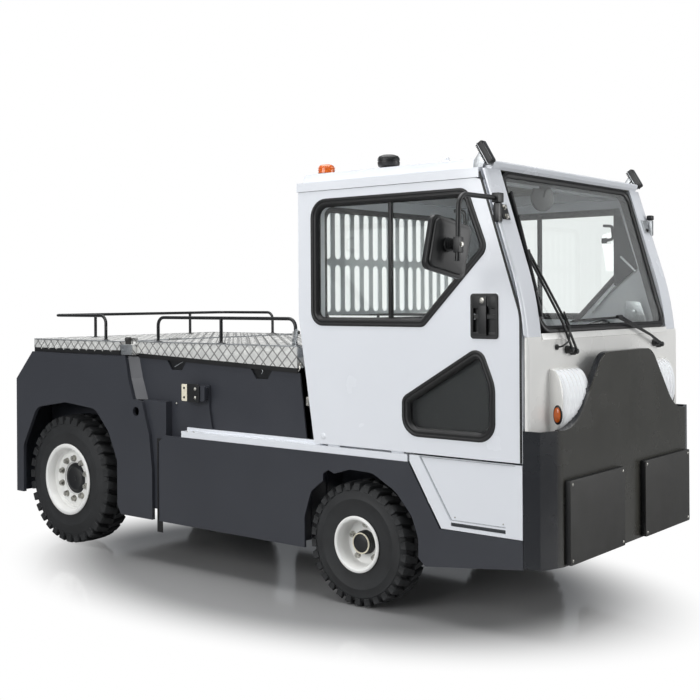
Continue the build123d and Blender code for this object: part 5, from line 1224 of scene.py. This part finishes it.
def cab_inside():
    """Steering wheel, dash pod, lever, pedals, headliner, visor lining, linings, mirror and far side fittings."""
    hub = at(2800, 360, 1210)
    axis = Vector((-0.6157, 0, 0.788))
    grip = [(185 + 13 * c, 13 * s) for c, s in circle(14)]
    wheel = turned_at(grip, hub, axis, 60)
    centre = turned_at([(0, -18), (26, -17), (36, -10), (40, 4), (34, 16), (0, 16)], hub, axis, 28)
    spin = Vector(OUT).rotation_difference(axis).to_matrix().to_4x4()
    spokes = [moved(prism(flat((20, -13, 4), (176, -10, 4), (176, 10, 4), (20, 13, 4)), -4, 5,
            lambda u, v, depth: Vector((u, depth, v)) / 1000, 2),
            Matrix.Translation(hub) @ spin @ Matrix.Rotation(math.radians(angle), 4, "Y"))
            for angle in (90, 215, 325)]
    end = hub - axis * 0.36
    column = pipe([(hub, 0), (end, 0)], 0.024, 18)
    boot = turned_at([(24, -60), (34, -56), (32, -48), (44, -44), (42, -34), (56, -30), (54, -18), (68, -12), (68, 0),
            (24, 0)], hub - axis * 0.27, axis, 28)
    stalk = pipe([(hub - axis * 0.06, 0), (hub - axis * 0.05 + Vector((0, -0.16, 0.03)), 0)], 0.006, 10)
    piece("steering_wheel_and_column", joined(wheel, centre, column, boot, stalk, *spokes), "black_moulding",
            "chassis", ["steering_wheel"])

    hood = prism(flat((2946, 1150, 14), (2962, 1262, 16), (3060, 1280, 20), (3120, 1262, 8), (3120, 1130, 8),
            (2960, 1130, 12)), 230, 480, on_side, 5)
    screen = prism(flat((250, 1148, 6), (460, 1148, 6), (460, 1244, 8), (250, 1244, 8)), 2948, 2954, on_front, 1.5)
    vents = [prism(oblong(y, y + 90, 1150, 1196, 6), 2954, 2962, on_front, 1.5) for y in (-560, -120, 40)]
    slats = [slab(2949, 2956, y + 8, y + 82, z, z + 3, 0.8) for y in (-560, -120, 40) for z in range(1156, 1190, 8)]
    lever = [rod([(2930, 120, 1130), (2900, 120, 1230)], 7, 0, 10),
            turned_at([(0, -20), (12, -19), (17, -10), (17, 2), (10, 14), (0, 14)], at(2898, 120, 1236), UP, 20)]
    piece("dash_fittings", joined(hood, screen, *vents, *slats, *lever), "black_moulding")
    pedals = [slab(2990, 3004, y, y + 70, 560, 640, 6) for y in (300, 420)]
    pedals += [rod([(3000, y + 35, 600), (3060, y + 35, 760), (3080, y + 35, 900)], 7, 30, 10) for y in (300, 420)]
    piece("pedals", joined(*pedals), "black_tube_paint")

    board = slab(1966, 2818, -636, 636, 2019, 2025, 2)
    seams = [slab(1970, 2814, y - 5, y + 5, 2016.5, 2020, 1.5) for y in (-420, -140, 140, 420)]
    piece("headliner", joined(board, *seams), "headlining")
    visor = slab(2868, 2957, -708, 708, 2007.2, 2010.1, 0.8)
    piece("visor_lining", visor, "olive_trim")
    rivets = spotted(button_head(9, 3), [(2948, y, 2007.2) for y in range(-640, 641, 160)], (0, 0, -1))
    piece("visor_rivets", rivets, "zinc_plate")

    lining = prism(flat((2838, 1500, 10), (2838, 1925, 10), (2955, 1925, 10), (3020, 1700, 10), (3020, 1640, 10)),
            -713, -703, on_side, 2)
    pair("pillar_lining", lining, "cab_trim")
    own = on_own(Matrix.Translation(at(2868, -112, 1928)) @ tilt(z=-25))
    shell = prism(flat(*[(64 * c, 66 * s) for c, s in circle(36)]), -9, 9, own, 5)
    stem = rod([(2878, -112, 1930), (2890, -104, 1980), (2872, -96, 2016)], 6, 20, 10)
    foot = slab(2850, 2894, -122, -70, 2014, 2020, 2)
    piece("cab_mirror", joined(shell, stem, foot), "black_moulding")
    glass = prism(flat(*[(57 * c, 59 * s) for c, s in circle(36)]), -11, -9.2, own, 0.4)
    piece("cab_mirror_glass", glass, "mirror_silver")

    plate = prism(flat((2934, 1322, 8), (3062, 1322, 8), (3030, 1424, 10), (2950, 1432, 10)), 618, 624, on_side, 1.5)
    bolt = spotted(hex_head(22, 9, 2.5), [(2996, 618, 1374)])
    stay = [rod(ends, 6, 0, 10) for ends in
            ([(2917, 624, 1663), (3001, 624, 1583)], [(2712, 700, 1368), (2842, 700, 1506)])]
    piece("far_side_bracket", joined(plate, bolt, *stay), "galvanised_steel")


def window_latches():
    """Dark U-shaped latch of each door's window on its pad."""
    bow = rod([(2774, -716, 1836), (2824, -716, 1832), (2830, -716, 1762), (2786, -716, 1756)], 8, 16, 12)
    pad = slab(2764, 2794, -721.8, -708, 1740, 1770, 4)
    pair("window_latch", joined(bow, pad), "black_moulding", "door_{side}")


SEAT_STEP = 0.72
FILL_FRAMES, FILL_PRESSURE, FILL_GRID, FILL_CAP = 20, 4.0, 0.008, 0.022


def stuffed(name, made, finish):
    """Closed form filled by cloth pressure, no point of which moves further than the cap."""
    rest = shown(name + "_form", made, finish, 0)
    grid = rest.modifiers.new("grid", "REMESH")
    grid.mode = "VOXEL"
    grid.voxel_size = FILL_GRID
    obj = bpy.data.objects.new(name,
            bpy.data.meshes.new_from_object(rest.evaluated_get(bpy.context.evaluated_depsgraph_get())))
    bpy.data.objects.remove(rest)
    bpy.context.scene.collection.objects.link(obj)
    start = [v.co.copy() for v in obj.data.vertices]
    cloth = obj.modifiers.new("filling", "CLOTH")
    cloth.settings.use_pressure = True
    cloth.settings.uniform_pressure_force = FILL_PRESSURE
    cloth.settings.effector_weights.gravity = 0.0
    cloth.point_cache.frame_start = 1
    cloth.point_cache.frame_end = FILL_FRAMES
    for step in range(1, FILL_FRAMES + 1):
        bpy.context.scene.frame_set(step)
    filled = bpy.data.meshes.new_from_object(obj.evaluated_get(bpy.context.evaluated_depsgraph_get()))
    obj.modifiers.clear()
    obj.data = filled
    bpy.context.scene.frame_set(1)
    for vertex, origin in zip(filled.vertices, start):
        moved_by = vertex.co - origin
        if moved_by.length > FILL_CAP:
            vertex.co = origin + moved_by.normalized() * FILL_CAP
    filled.materials.clear()
    filled.materials.append(MATERIALS[finish])
    filled.shade_smooth()
    return obj


def seats():
    """Stuffed cushions and backrests; the left ones are copies of the right ones."""
    base = prism(flat((2122, 882, 20), (2586, 882, 30), (2586, 938, 36), (2122, 950, 20)), -588, -132, on_side, 22)
    back = prism(flat((2030, 892, 18), (2096, 892, 18), (2094, 980, 20), (2042, 1276, 26), (1990, 1276, 26)),
            -588, -132, on_side, 18)
    for name, form, node in (("cushion", base, "seat_cushions"), ("backrest", back, "seat_backs")):
        right = stuffed(name + "_right", form, "seat_cloth")
        left = bpy.data.objects.new(name + "_left", right.data.copy())
        left.data.transform(Matrix.Translation((0, SEAT_STEP, 0)))
        bpy.context.scene.collection.objects.link(left)
        for obj in (right, left):
            soft = obj.modifiers.new("soft", "SUBSURF")
            soft.levels = soft.render_levels = 1
            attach(obj, "chassis")
        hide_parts(node)


def hitch_details():
    """Bent handle of the towing pin."""
    handle = rod([(-518, 130, 520), (-518, 130, 556), (-518, 176, 556), (-518, 176, 528)], 6, 14, 12)
    piece("hitch_pin_handle", handle, "zinc_plate")


finish_nodes()
rear_wheels()
front_wheels()
lid_tread()
lid_details()
notch_details()
catch_details()
side_details()
door_frames()
door_edges()
door_handle()
window_latches()
glass_rubbers()
roof_work_lamps()
roof_top_pieces()
right_mirror()
left_clamp()
wipers()
headlamps()
tail_lamps()
bumper_pads()
rails()
cab_inside()
seats()
hitch_details()
stage()
